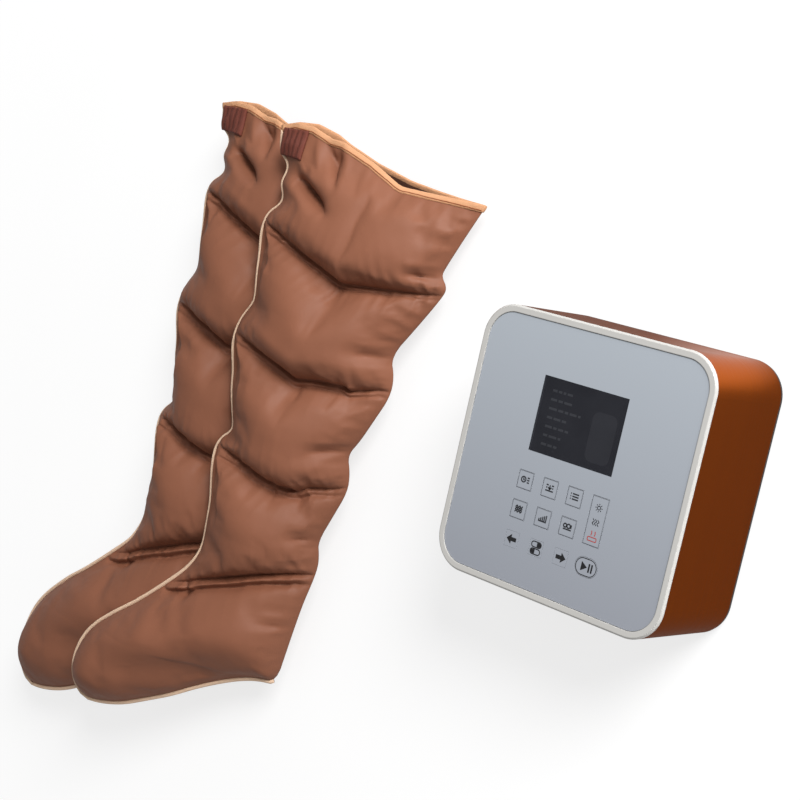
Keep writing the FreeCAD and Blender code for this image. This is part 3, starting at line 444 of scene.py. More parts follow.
def icon(number, x, y):
    """One of six generic key symbols, about 9 x 6 mm."""
    def line(*path):
        return ribbon([(x + ICON_SIZE * a, y + ICON_SIZE * b) for a, b in path], BROAD)

    def lines(start, end, *heights):
        return [line((start, height), (end, height)) for height in heights]

    def ring(a, b, r):
        return ribbon(circle(x + ICON_SIZE * a, y + ICON_SIZE * b, ICON_SIZE * r), BROAD, True)

    if number == 1:  # clock and its count
        return [ring(-2.2, 0, 2.7), line((-2.2, 1.6), (-2.2, 0), (-0.9, -0.8)),
                *lines(2.2, 5.0, 2.4, 0, -2.4)]
    if number == 2:  # gauge: arrow pressed on a pad
        return [line((-4.8, -2.8), (4.8, -2.8)), line((0, 3.0), (0, -1.2)),
                line((-2.0, 0.8), (0, -1.4), (2.0, 0.8)), *lines(-4.6, -2.0, 2.8),
                *lines(2.0, 4.6, 2.8), *lines(-4.4, -3.0, 0.2), *lines(3.0, 4.4, 0.2)]
    if number == 3:  # list
        return [*lines(-2.6, 4.8, 2.6, 0, -2.6), *lines(-4.9, -3.9, 2.6, 0, -2.6)]
    if number == 4:  # waves
        return [line(*[(a * 0.5, dy + 0.9 * math.sin(a * 0.9)) for a in range(-9, 10)])
                for dy in (-2.2, 0.1, 2.4)]
    if number == 5:  # rising bars
        bars = ((-4.2, 1.8), (-2.1, 3.0), (0, 4.2), (2.1, 5.2), (4.2, 6.2))
        return [line((a, -3.0), (a, -3.0 + h)) for a, h in bars] + lines(-4.9, 4.9, -3.6)
    # two air cells on a pad, beside a column
    return [ring(-3.1, 0.9, 1.8), ring(1.2, 0.9, 2.0), *lines(-4.9, 4.9, -2.6),
            line((4.2, 2.8), (4.2, -0.9))]


def face_marks():
    """Outlines, symbols and arrows on the keys, and the sleeping menu of the display."""
    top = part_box("key_1")[1].z + INK_LIFT

    def middle(key):
        low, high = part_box(key)
        return (low.x + high.x) / 2 / MM, (low.y + high.y) / 2 / MM

    def outline(key, w, h, r, steps, width, colour):
        border = ribbon(round_rect(*middle(key), w, h, r, steps), width, True)
        mark(key + "_outline", [border], top, colour, key)

    for i in range(1, 7):
        key = "key_%d" % i
        x, y = middle(key)
        outline(key, *KEY_BORDER, 0.6, 2, HAIRLINE, PALE_INK)
        mark(key + "_symbol", icon(i, x, y + 0.4), top, INK, key)
    x, y = middle("key_heat")
    outline("key_heat", *HEAT_BORDER, 0.6, 2, HAIRLINE, PALE_INK)
    sun_y = y + 12.5
    sun = [ribbon(circle(x, sun_y, 1.7, 12), THIN, True)]
    for i in range(8):
        a = math.radians(45 * i)
        ray = [(x + r * math.cos(a), sun_y + r * math.sin(a)) for r in (2.7, 3.9)]
        sun.append(ribbon(ray, THIN))
    for a in (-2.6, 0, 2.6):
        wave = [(x + a + 0.9 * math.sin(b * 1.6), y - 1.0 + b) for b in np.linspace(-3, 3, 9)]
        sun.append(ribbon(wave, THIN))
    mark("key_heat_symbols", sun, top, INK, "key_heat")
    hot = [ribbon(round_rect(x, y - 16.6, 9.6, 3.4, 1.0, 3), THIN, True)]
    for a in (-1.9, 1.9):
        hot.append(ribbon([(x + a, y - 13.4), (x + a + 0.5, y - 11.2), (x + a, y - 9.0)], 0.9))
    mark("key_heat_red", hot, top, RED_INK, "key_heat")
    for key, way in (("key_left", -1), ("key_right", 1)):
        x, y = middle(key)
        neck, tail = x + way * 0.6, x - way * 5.2
        head = blob([(x + way * 6.0, y), (neck, y + 4.8), (neck, y - 4.8)])
        shaft = blob([(neck, y + 1.9), (tail, y + 1.9), (tail, y - 1.9), (neck, y - 1.9)])
        mark(key + "_arrow", [head, shaft], top, DARK_INK, key)
    x, y = middle("key_mode")
    shapes = []
    for dy, way in ((3.3, 1), (-3.3, -1)):
        shapes.append(ribbon(round_rect(x, y + dy, 11.0, 5.2, 2.5, 6), MEDIUM, True))
        cap = circle(x + way * 3.0, y + dy, 2.0, 8, 90, -180 * way)
        shapes.append(blob([(x + way * 0.6, y + dy + 2.0), *cap, (x + way * 0.6, y + dy - 2.0)]))
    mark("key_mode_toggles", shapes, top, DARK_INK, "key_mode")
    x, y = middle("key_play")
    outline("key_play", *PLAY_BORDER, 7.6, 8, THIN, DARK_INK)
    shapes = [blob([(x - 5.4, y + 4.4), (x - 5.4, y - 4.4), (x + 1.2, y)])]
    for left, right in ((x + 2.4, x + 4.1), (x + 5.4, x + 7.1)):
        shapes.append(blob([(left, y + 4.0), (left, y - 4.0), (right, y - 4.0), (right, y + 4.0)]))
    mark("key_play_symbol", shapes, top, DARK_INK, "key_play")
    low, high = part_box("lcd_lens")
    left, up = low.x / MM, high.y / MM
    dashes = []
    for i, row in enumerate(MENU):
        start, level = left + 10, up - 12 - MENU_PITCH * i
        for run in row:
            dashes.append(ribbon([(start, level), (start + run, level)], MENU_STROKE))
            start += run + MENU_GAP
    mark("lcd_menu", dashes, low.z + MENU_LIFT, GHOST, "casing")
    figure = [blob(round_rect(left + 73, up - 42, 27, 46, 7, 5))]
    mark("lcd_figure", figure, low.z + MENU_LIFT, GHOST_AREA, "casing")


# ---- sleeves: the flat plan ----
# Places in it are in millimetres: across runs from the calf fold towards the shin seam, and
# along runs from the heel towards the rim.

SHIN = ((223, 588), (217, 564), (204, 556), (201, 548), (202, 541), (204, 531), (196, 519),
        (197, 509), (209, 496), (212, 483), (211, 470), (205, 448), (201, 426), (195, 404),
        (195, 394), (203, 378), (207, 362), (207, 348), (204, 336), (195, 315), (190, 293),
        (175, 259), (174, 250), (185, 238), (189, 225), (188, 209), (182, 187), (175, 165),
        (172, 142), (168, 113), (172, 94), (182, 74), (204, 46), (233, 12), (261, -15),
        (284, -41), (295, -63), (299, -88), (295, -106), (286, -117), (275, -123))
CALF = ((-36, 582), (-25, 542), (-14, 504), (-13, 496), (-23, 486), (-21, 475), (-3, 434),
        (15, 396), (4, 376), (2, 354), (11, 325), (20, 296), (29, 277), (20, 259), (16, 239),
        (24, 206), (32, 173), (26, 159), (23, 146), (24, 127), (27, 101), (28, 77), (29, 44),
        (30, 3), (51, -1), (74, -11), (100, -27), (127, -46), (153, -67), (186, -89),
        (210, -105), (231, -115), (249, -121.5), (262, -124.5))
# Stations from the rim to the toe: shin point, calf point and half the thickness there.
STATIONS = (
    ((223, 588), (-36, 582), 7), ((203, 552), (-27, 546), 29), ((197, 516), (-18, 515), 40),
    ((212, 485), (-22, 477), 43), ((198, 416), (5, 418), 46), ((207, 358), (2, 360), 45),
    ((190, 296), (20, 298), 45), ((187, 233), (18, 244), 43), ((179, 176), (31, 175), 43),
    ((168, 112), (24, 152), 41), ((196, 50), (24, 137), 41), ((222, 18), (28, 88), 42),
    ((250, -4), (30, 44), 43), ((276, -32), (32, 3), 41), ((294, -62), (100, -27), 39),
    ((299, -92), (186, -89), 36), ((295, -106), (231, -115), 32), ((275, -123), (262, -124.5), 28),
)
CREASE_STATIONS = (3, 5, 7, 10)
# Seam lines between chambers, from shin to calf, and how wide the flat strip below each is
# at the shin, in the middle and at the calf.
CREASES = (
    (((211, 487), (201, 486), (181, 481), (151, 472), (131, 466), (107, 459), (88, 453), (62, 459),
      (33, 465), (3, 471), (-22, 477)), (10, 6, 5)),
    (((206, 359), (192, 358), (175, 355), (136, 346), (106, 338), (81, 345), (53, 349), (43, 347),
      (15, 358), (2, 360)), (10, 9, 7)),
    (((187, 233), (180, 232), (147, 228), (115, 221), (89, 218), (67, 221), (55, 230), (31, 237),
      (18, 243)), (10, 10, 8)),
    (((196, 56), (190, 58), (173, 66), (152, 79), (116, 98), (79, 117), (47, 130), (24, 137)),
     (12, 14, 12)),
)
# Short folds and soft bands: path, width and depth. A negative depth stands up.
FOLDS = (
    (((88, 453), (89, 446), (97, 430)), 5, 6),
    (((18, 488), (-3, 491), (-24, 496)), 3.0, 9), (((24, 499), (4, 502), (-14, 507)), 6, -3.5),
    (((42, 389), (20, 393), (4, 398)), 3.0, 9), (((46, 400), (26, 403), (10, 408)), 6, -3.5),
    (((58, 272), (34, 279), (20, 284)), 3.0, 8), (((60, 283), (40, 288), (26, 293)), 6, -3.5),
    (((56, 168), (38, 175), (24, 175)), 3.0, 7), (((60, 179), (42, 185), (30, 186)), 6, -3),
    (((174, 67), (168, 60), (163, 52)), 3, 7), (((178, 48), (168, 50), (154, 60)), 4, 6),
    (((196, 44), (184, 46), (172, 52)), 3, 4), (((166, 68), (158, 62), (150, 66)), 4, -3),
    (((60, 66), (46, 68), (26, 70)), 3.5, 5), (((62, 77), (46, 80), (30, 81)), 5, -2.5),
    (((181, 544), (168, 540), (152, 533), (138, 527), (126, 521)), 6, 32),
    (((182, 553), (162, 549), (140, 540)), 6, -2.5),
    (((154, 581), (143, 570), (126, 550)), 4, 16), (((140, 580), (138, 574), (136, 564)), 3.5, 11),
    (((138, 590), (124, 572), (118, 546)), 6, -2.5), (((172, 586), (160, 566), (152, 556)), 7, -3),
    (((62, 341), (50, 350), (42, 354)), 3, 6), (((74, 357), (58, 352), (47, 343)), 3.5, -4),
    (((52, 358), (44, 352), (36, 350)), 3, -3),
    (((102, 333), (98, 325), (97, 316)), 4.5, 5), (((86, 228), (73, 220), (60, 211)), 3.5, 5),
    (((66, 240), (58, 228), (50, 222)), 3.5, -4), (((80, 213), (66, 222), (56, 227)), 3, -3.5),
    (((96, 214), (92, 206), (92, 198)), 4, 4),
    (((60, 42), (240, -22)), 26, -5), (((70, 2), (236, -64)), 18, 5),
)
# A sharp ridge runs down from where each of the first three seams meets the shin, and fades out.
TENTS = (((208, 484), (200, 479), (188, 465), (179, 448), (176, 422), (174, 400)),
         ((203, 354), (192, 346), (182, 337), (170, 319), (163, 298), (160, 276)),
         ((184, 228), (175, 219), (164, 206), (153, 188), (147, 168), (146, 148)))

ROWS, COLUMNS = 361, 105  # of a sleeve's grid
SAMPLES = 2000  # places that the rows are picked from
CROWD, CROWD_WIDTH = 1.4, 13.0  # rows lie this much closer, this near to a crease
BEND_WIDTH = 46.0  # rows follow a crease's bend this far from it
EVEN = 0.45  # how evenly the columns are spaced


def lengths(points):
    """Distance of each point along a line of points."""
    return np.concatenate(([0.0], np.cumsum(np.linalg.norm(np.diff(points, axis=0), axis=1))))


def points_at(line, run):
    """Places on a line of points, at distances along it."""
    whole = lengths(line)
    return np.stack([np.interp(run, whole, line[:, k]) for k in (0, 1)], axis=1)


def rounded(path):
    """Cuts the corners of an open line, twice."""
    points = np.array(path, float)
    for _ in range(2):
        mid = np.empty((2 * len(points) - 2, 2))
        mid[0::2] = 0.75 * points[:-1] + 0.25 * points[1:]
        mid[1::2] = 0.25 * points[:-1] + 0.75 * points[1:]
        points = np.vstack((points[:1], mid, points[-1:]))
    return points


def smooth(values, reach):
    """Moving mean over a reach to both sides."""
    kernel = np.hanning(2 * reach + 1)
    return np.convolve(np.pad(values, reach, mode="edge"), kernel / kernel.sum(), "valid")


def plan_grid():
    """Across, along, share from shin to calf, half thickness and distance from the rim."""
    sides, stations = (rounded(SHIN), rounded(CALF)), []
    for k, side in enumerate(sides):
        spots = np.array([station[k] for station in STATIONS], float)
        where = nearest(spots[:, 0], spots[:, 1], side)[1]
        where[0], where[-1] = 0, 1
        stations.append(where * lengths(side)[-1])
    steps = (np.diff(stations[0]) + np.diff(stations[1])) / 2
    knots = np.concatenate(([0.0], np.cumsum(steps)))
    seams = [knots[i] for i in CREASE_STATIONS]
    even = np.linspace(0, knots[-1], SAMPLES)
    crowd = 1 + sum(CROWD * bell(even - at, CROWD_WIDTH) for at in seams)
    crowd = np.concatenate(([0.0], np.cumsum(crowd[1:] + crowd[:-1])))
    t = np.interp(np.linspace(0, crowd[-1], ROWS), crowd, even)
    at_shin, at_calf = [points_at(side, np.interp(t, knots, at))[:, None]
                        for side, at in zip(sides, stations)]
    u = np.linspace(0, 1, COLUMNS)
    share = EVEN * u + (1 - EVEN) * (1 - np.cos(math.pi * u)) / 2
    across = at_shin[..., 0] * (1 - share) + at_calf[..., 0] * share
    along = at_shin[..., 1] * (1 - share) + at_calf[..., 1] * share
    for at, (path, _) in zip(seams, CREASES):
        row = int(np.argmin(np.abs(t - at)))
        line = np.array(path[::-1], float)
        bend = np.interp(across[row], line[:, 0], line[:, 1]) - along[row]
        bend = bend - bend[0] * (1 - share) - bend[-1] * share
        along = along + bell(t - at, BEND_WIDTH)[:, None] * bend
    half = np.interp(t, knots, [s[2] for s in STATIONS])
    return across, along, share, smooth(half, 6), t


def nearest(across, along, path):
    """Distance to a path and the place on it, from 0 to 1."""
    best = np.full(across.shape, 1e9)
    where = np.zeros(across.shape)
    points = np.array(path, float)
    run = lengths(points)
    for i in range(len(points) - 1):
        a, d = points[i], points[i + 1] - points[i]
        s = np.clip(((across - a[0]) * d[0] + (along - a[1]) * d[1]) / (d @ d), 0, 1)
        gap = np.hypot(across - a[0] - s * d[0], along - a[1] - s * d[1])
        closer = gap < best
        best = np.where(closer, gap, best)
        where = np.where(closer, (run[i] + s * np.linalg.norm(d)) / run[-1], where)
    return best, where


def decay(gap, reach):
    """From 1 at no gap, sharply, towards 0."""
    return np.exp(-gap / reach)


def bell(gap, width):
    """From 1 at no gap, softly, towards 0."""
    return np.exp(-(gap / width) ** 2)


def climb(x, start, length, low=0.0):
    """Rises evenly to 1 over a length, but is never less than low."""
    return np.clip((x - start) / length, low, 1)


def dome(x, power):
    """From 0 at an edge to 1 where x reaches 1."""
    return (1 - (1 - np.clip(x, 0, 1)) ** 2) ** power


def wander(x, seed, waves, low, high):
    """Smooth repeatable wobble along x, made of a few waves between two wavelengths."""
    rng = np.random.default_rng(seed)
    out = np.zeros(np.shape(x))
    for _ in range(waves):
        out = out + np.sin(2 * math.pi * x / rng.uniform(low, high) + rng.uniform(0, 2 * math.pi))
    return out / math.sqrt(waves)


def crumple(across, along, seed, low, high):
    """Flat facets that meet in sharp lines, as in creased cloth."""
    rng = np.random.default_rng(seed)
    out = np.zeros(across.shape)
    for _ in range(4):
        turn = rng.uniform(0, math.pi)
        x = across * math.cos(turn) + along * math.sin(turn)
        y = along * math.cos(turn) - across * math.sin(turn)
        bent = x + 0.22 * high * np.sin(2 * math.pi * y / (1.7 * high) + rng.uniform(0, 6))
        wave = wander(bent, int(rng.integers(1000)), 3, low, high)
        out = out + 1 - np.sqrt(wave ** 2 + 0.03)
    return out / 4 - 0.35


def blurred(grid):
    """Each inner point nearer to the mean of its neighbours."""
    mean = (grid[:-2, 1:-1] + grid[2:, 1:-1] + grid[1:-1, :-2] + grid[1:-1, 2:]) / 4
    out = grid.copy()
    out[1:-1, 1:-1] = grid[1:-1, 1:-1] * 0.4 + mean * 0.6
    return out


# Heights and reaches of the relief, in millimetres.
DOME_REACH, DOME_POWER = (44, 86), 0.82  # the sheet rises this far in from its outline
SOFT_PASSES = 60  # of blurring, away from the outline
AT_SEAM = 0.36  # share of the thickness that is left at a seam
TO_RIM, TO_RIM_POWER = 28.0, 0.62  # rise from a seam towards the rim
TO_FOOT, TO_FOOT_POWER = 58.0, 0.75  # and beyond its strip, towards the foot
SEAM_DEPTH, SEAM_REACH = 4.5, 2.6
ROLL_HEIGHT, ROLL_DEPTH, ROLL_REACH = 5.0, 6.0, 2.4  # the strip of the last seam is a roll
LIP_HEIGHT, LIP_PLACE, LIP_REACH = 2.2, 4.2, 1.5  # the other seams have a lip below them
STRIP_DEPTH, STRIP_REACH = 2.0, 2.2  # and a groove where their strip ends
RIPPLE, RIPPLE_REACH, RIPPLE_WAVES = 1.9, 15.0, (18, 44)
PUCKER, PUCKER_REACH, PUCKER_WAVES = 2.4, 12.0, (22, 60)
FACETS, SEAM_FACETS, FACET_WAVES = 0.3, 2.4, (34, 90)
SOFT_BAND = 12  # folds as wide as this, or wider, are soft bands
TENT_HEIGHT, TENT_INNER, TENT_OUTER = 11.0, 30.0, 8.0
TENT_DEPTH = 9.0  # hollow between a tent's ridge and the shin


def seam_relief(gap, where, width, above, rolled):
    """Groove, lip and strip of one seam."""
    fine = -SEAM_DEPTH * decay(gap, SEAM_REACH)
    strip_end = np.abs(gap - width)
    if rolled:
        fine += ROLL_HEIGHT * np.where(above, 0, bell(gap - width / 2, width / 4))
        return fine - ROLL_DEPTH * np.where(above, 0, decay(strip_end, ROLL_REACH))
    lip = np.where(above, 0, decay(np.abs(gap - LIP_PLACE), LIP_REACH))
    fine += LIP_HEIGHT * lip * np.interp(where, (0, 0.2, 0.6, 1), (0, 0.8, 1, 0.5))
    return fine - STRIP_DEPTH * np.where(above, 0, decay(strip_end, STRIP_REACH))


def relief(across, along, half, seed):
    """Height of the inflated upper sheet over the seam plane: its swell and its fine folds."""
    outline = rounded(SHIN + CALF[::-1])
    edge, edge_at = nearest(across, along, outline)
    reach = np.clip(smooth(edge.max(axis=1), 14), *DOME_REACH)
    swell = soft = dome(edge / reach[:, None], DOME_POWER)
    for _ in range(SOFT_PASSES):
        soft = blurred(soft)
    swell = swell + (soft - swell) * climb(edge, 6, 16)
    puff = np.ones(across.shape)
    fine = np.zeros(across.shape)
    near_seam = np.zeros(across.shape)
    for i, (path, strip) in enumerate(CREASES):
        gap, where = nearest(across, along, path)
        line = np.array(path[::-1], float)
        above = along > np.interp(across, line[:, 0], line[:, 1])
        width = np.interp(where, (0, 0.5, 1), strip)
        beyond = np.maximum(gap - width, 0)
        puff = puff * np.where(above, dome(gap / TO_RIM, TO_RIM_POWER),
                               dome(beyond / TO_FOOT, TO_FOOT_POWER))
        fine += seam_relief(gap, where, width, above, i == len(CREASES) - 1)
        run = where * lengths(np.array(path, float))[-1]
        ripple = 0.9 - 1.6 * np.abs(wander(run + 0.25 * gap, seed + i, 4, *RIPPLE_WAVES))
        ripple = ripple * decay(gap, RIPPLE_REACH) * np.where(above, 0.8, 0.7)
        fine += RIPPLE * ripple * climb(gap, 0, 4)
        near_seam = np.maximum(near_seam, decay(gap, 26.0))
    run = edge_at * lengths(outline)[-1]
    pucker = 0.8 - 1.5 * np.abs(wander(run + 0.3 * edge, seed + 9, 4, *PUCKER_WAVES))
    pucker = pucker * decay(edge, PUCKER_REACH) * climb(edge, 0, 4)
    fine += PUCKER * pucker * climb(along, -60, 160, 0.2)
    near_seam = np.maximum(near_seam, 0.8 * decay(edge, 22.0))
    facets = climb(along, -40, 160, 0.12) * (FACETS + SEAM_FACETS * near_seam)
    fine += facets * crumple(across, along, seed + 30, *FACET_WAVES)
    body = half[:, None] * swell * (AT_SEAM + (1 - AT_SEAM) * puff)
    for path, width, depth in FOLDS:
        gap, where = nearest(across, along, path)
        fade = np.sin(math.pi * np.clip(where, 0.03, 0.97)) ** 0.5
        fine -= depth * fade * (bell if width >= SOFT_BAND else decay)(gap, width)
    fine = fine * np.clip(swell * 1.8, 0, 1)
    for path in TENTS:
        gap, where = nearest(across, along, path)
        line = np.array(path[::-1], float)
        inner = across < np.interp(along, line[:, 1], line[:, 0])
        fade = (1 - where) ** 0.7
        ridge = fade * decay(gap, np.where(inner, TENT_INNER, TENT_OUTER))
        fine += TENT_HEIGHT * ridge * climb(edge, 0, 14)
        hollow = np.where(inner, 0, TENT_DEPTH) * fade * climb(gap, 0, 7)
        fine -= hollow * climb(edge, 0, 6) * (where > 0)
    return body, fine, swell


# ---- sleeves: laid on the table ----

TOE_FROM, CUFF_FROM = 180, 480  # beyond these, foot and cuff are stretched
DROOP_FROM, DROOP_OVER = 120, 100  # where the droop starts, and its unit
# The rim isn't cut straight: the near sheet dips towards the calf, the far one stands up.
RIM_PLACES = (-36, -9, 23, 57, 64, 99, 139, 154, 180, 203, 223)
RIM_NEAR = (-5, -8, -12, -16, -15, -3, 6, 5, 10, 8, 0)
RIM_FAR = (-5, -7, -8, -8, -7, -3, 6, 11, 14, 9, 0)
RIM_REACH = 60.0
CLOTH = {
    "quality": 4, "mass": 0.15, "tension_stiffness": 12, "compression_stiffness": 12,
    "shear_stiffness": 6, "bending_stiffness": 0.9, "shrink_min": -0.03,
    "use_pressure": True, "uniform_pressure_force": 4, "vertex_group_mass": "held",
}
CLOTH_FRAMES = 20
MOVE_CAP = 0.006  # most that the cloth moves a point, in metres
UNDER_DEPTH, UNDER_EXTRA = 0.97, 6  # share of the thickness, and most past the upper side
LINING_ROWS = 34
TAB_CORNERS = ((219, 590), (184, 595), (180, 563), (215, 561))  # rim at the shin first
TAB_ROWS, TAB_COLUMNS = 25, 33
TAB_RISE, TAB_RIB, TAB_RIBS, TAB_EDGE, TAB_BACK = 2.6, 1.4, 5, 1.6, 0.4


def above_table(points):
    """Lifts points that are below the table up to it."""
    points[..., 2] = np.maximum(points[..., 2], 0.0)


class Lay:
    """How a sleeve lies on the table."""

    def __init__(self, name, seed, heel, lean, tilt, droop, length, foot, cuff, under_lean, tucked):
        self.name, self.seed, self.heel, self.droop = name, seed, heel, droop
        self.length, self.foot, self.cuff = length, foot, cuff
        self.under_lean, self.tucked = under_lean, tucked
        a, b = math.radians(tilt), math.radians(-lean)
        tilted = ((math.cos(a), 0, math.sin(a)), (0, 1, 0), (-math.sin(a), 0, math.cos(a)))
        turned = ((math.cos(b), -math.sin(b), 0), (math.sin(b), math.cos(b), 0), (0, 0, 1))
        self.turn = np.array(turned) @ np.array(tilted)

    def place(self, across, along, rise):
        """Points on the table, in metres, of places in the plan."""
        far = np.where(across > TOE_FROM, TOE_FROM + (across - TOE_FROM) * self.foot, across)
        run = np.where(along > CUFF_FROM, CUFF_FROM + (along - CUFF_FROM) * self.cuff, along)
        run = run * self.length * np.where(along < 0, self.foot, 1.0)
        sag = self.droop * (np.maximum(0, far - DROOP_FROM) / DROOP_OVER) ** 2
        local = np.stack([-far, run, rise - sag], axis=-1)
        points = local @ self.turn.T + np.array(self.heel)
        above_table(points)
        return points * MM


UPPER = Lay("upper_sleeve", 3, (-348, -359, 28), 6.5, 17, 5, 1.0, 1.0, 1.0, 0.65, 0.6)
LOWER = Lay("lower_sleeve", 40, (-484, -375, 20), 6.75, 10, 7, 1.07, 1.18, 0.88, 1.0, 1.0)


def rim_shift(across, along, t, shift):
    """Places along the plan, moved near the rim."""
    fade = (1 - climb(t, 0, RIM_REACH))[:, None] ** 2
    return along + np.interp(across, RIM_PLACES, shift) * fade


def bag_faces(rows, columns):
    """Quads of an upper and an under sheet that share their sides and their last row."""
    upper = np.arange(rows * columns).reshape(rows, columns)
    under = upper.copy()
    inner = (rows - 1) * (columns - 2)
    under[:-1, 1:-1] = rows * columns + np.arange(inner).reshape(rows - 1, columns - 2)
    return sheet_faces(upper, False) + sheet_faces(under, True)


def bag_points(top, under):
    """Points of both sheets, in the order of bag_faces."""
    size = top.shape[-1] if top.ndim == 3 else 1
    return np.vstack((top.reshape(-1, size), under[:-1, 1:-1].reshape(-1, size)))


def held_share(across, along, swell, t):
    """How firmly the outline, the creases and the rim hold each point, from 0 to 1."""
    held = np.clip(1.6 - swell * 4, 0, 1)
    for path, _ in CREASES:
        gap, _ = nearest(across, along, path)
        held = np.maximum(held, np.clip(1.6 - gap / 4.0, 0, 1))
    return np.maximum(held, np.clip(1.5 - t / 8.0, 0, 1)[:, None])


def settle(lay, top, under, held):
    """How far air pressure moves the cloth between its seams, on every second grid point."""
    high, low = top[::2, ::2], under[::2, ::2]
    rows, columns = high.shape[:2]
    points = bag_points(high, low)
    bag = mesh_object(lay.name + "_bag", points, bag_faces(rows, columns), NYLON)
    pin = np.round(bag_points(held[::2, ::2], held[::2, ::2]).ravel(), 1)
    group = bag.vertex_groups.new(name="held")
    for weight in np.unique(pin[pin > 0]):
        group.add([int(i) for i in np.nonzero(pin == weight)[0]], float(weight), "REPLACE")
    cloth = bag.modifiers.new("cloth", "CLOTH")
    for name, value in CLOTH.items():
        setattr(cloth.settings, name, value)
    cloth.settings.effector_weights.gravity = 0
    cloth.collision_settings.use_collision = False
    cloth.point_cache.frame_start = 1
    cloth.point_cache.frame_end = CLOTH_FRAMES
    scene = bpy.context.scene
    for frame_number in range(1, CLOTH_FRAMES + 1):
        scene.frame_set(frame_number)
    shown = bag.evaluated_get(bpy.context.evaluated_depsgraph_get())
    moved = np.empty(len(points) * 3)
    shown.data.vertices.foreach_get("co", moved)
    moved = moved.reshape(-1, 3) - points
    bpy.data.objects.remove(bag)
    scene.frame_set(1)
    size = np.linalg.norm(moved, axis=1)[:, None]
    moved = moved * MOVE_CAP * np.tanh(size / MOVE_CAP) / np.maximum(size, 1e-9)
    high_move = moved[:rows * columns].reshape(rows, columns, 3)
    low_move = high_move.copy()
    low_move[:-1, 1:-1] = moved[rows * columns:].reshape(rows - 1, columns - 2, 3)
    return finer(blurred(high_move), top.shape), finer(blurred(low_move), under.shape)


def finer(grid, shape):
    """A field known on every second grid point, filled in between."""
    for axis in (0, 1):
        at = np.minimum(np.arange(shape[axis]) / 2, grid.shape[axis] - 1)
        low = np.minimum(at.astype(int), grid.shape[axis] - 2)
        part = (at - low).reshape((-1, 1, 1) if axis == 0 else (-1, 1))
        grid = grid.take(low, axis) * (1 - part) + grid.take(low + 1, axis) * part
    return grid


def sleeve(lay):
    """The nylon bag of a sleeve with its lining, rim tape, piping and tab."""
    across, along, share, half, t = plan_grid()
    body, fine, swell = relief(across, along, half, lay.seed)
    along_top = rim_shift(across, along, t, RIM_NEAR)
    along_under = rim_shift(across, along, t, RIM_FAR)
    sag = np.sin(math.pi * (1 - share) ** lay.under_lean) ** 0.85
    depth = np.minimum(half[:, None] * np.minimum(sag[None, :], swell) * UNDER_DEPTH,
                       body + UNDER_EXTRA * swell)
    under = lay.place(across, along_under, -depth)
    high_move, low_move = 0.0, 0.0
    held = held_share(across, along, swell, t)
    moves = settle(lay, lay.place(across, along_top, body), under, held)
    calm = climb(along, -120, 260, 0.3)[:, :, None]
    high_move, low_move = [move * calm for move in moves]
    top = lay.place(across, along_top, np.maximum(body + fine, 0.0)) + high_move
    under = under + low_move
    above_table(top)
    above_table(under)
    under[:, 0], under[:, -1], under[-1] = top[:, 0], top[:, -1], top[-1]
    faces = bag_faces(*across.shape)
    skin = mesh_object(lay.name + "_cover", bag_points(top, under), faces, NYLON)
    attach(skin, "casing")
    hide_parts(*[lay.name + "_chamber_%d" % i for i in (1, 2, 3, 4)], lay.name + "_foot")
    plan = np.stack([across, along_top], axis=-1)
    for piece in (lining(lay, top, under), rim_binding(lay, top, under), rim_stitch_and_shade(lay, top),
                  piping(lay), tab(lay, top, plan)):
        piece.parent = skin


def lining(lay, top, under):
    """Inner bag, seen through the open rim, in nylon darkened as painted shade."""
    rows, columns = LINING_ROWS, top.shape[1]
    middle = (top[:rows] + under[:rows]) / 2
    k = np.interp(np.arange(rows), (0, 8, rows - 1), (0.84, 0.6, 0.45))[:, None, None]
    high = middle + (top[:rows] - middle) * k
    low = middle + (under[:rows] - middle) * k
    points = np.vstack((high.reshape(-1, 3), low.reshape(-1, 3)))
    grid = np.arange(rows * columns).reshape(rows, columns)
    faces = sheet_faces(grid, True) + sheet_faces(grid + rows * columns, False)
    piece = mesh_object(lay.name + "_lining", points, faces, LINING_PAINTED_SHADE)
    return piece


def rim_binding(lay, top, under):
    """Tape folded over the rim, all round the mouth."""
    loop = np.vstack((top[0], under[0, -2:0:-1]))
    inner = np.vstack((top[2], under[2, -2:0:-1]))
    out = unit(loop - inner)
    rings = sweep(loop, out, oval(0.2, 4.1, 1.6, 12, 0.7), True)
    # On the far side of the mouth the tape is half as deep inwards.
    inward = np.minimum((rings - loop[:, None]) @ out[:, :, None], 0)
    near_count = len(top[0])
    far = np.sin(math.pi * climb(np.arange(len(loop)), near_count, len(loop) - near_count))
    rings += out[:, None] * (inward * 0.5 * far[:, None, None])
    above_table(rings)
    piece = tube(lay.name + "_edge", rings, True, BINDING)
    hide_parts(lay.name + "_rim_binding")
    return piece


def rim_stitch_and_shade(lay, top):
    """Sewn line along the middle of the tape, on the near side of the mouth; its dark brown is
    partly thread colour and partly painted shade of the tape's lower edge.
    """
    line, inner = top[0, 2:-2], top[2, 2:-2]
    rings = sweep(line, unit(line - inner), oval(-1.7, 1.0, 2.0, 8), False)
    piece = tube(lay.name + "_stitch", rings, False, STITCH_AND_SHADE)
    return piece


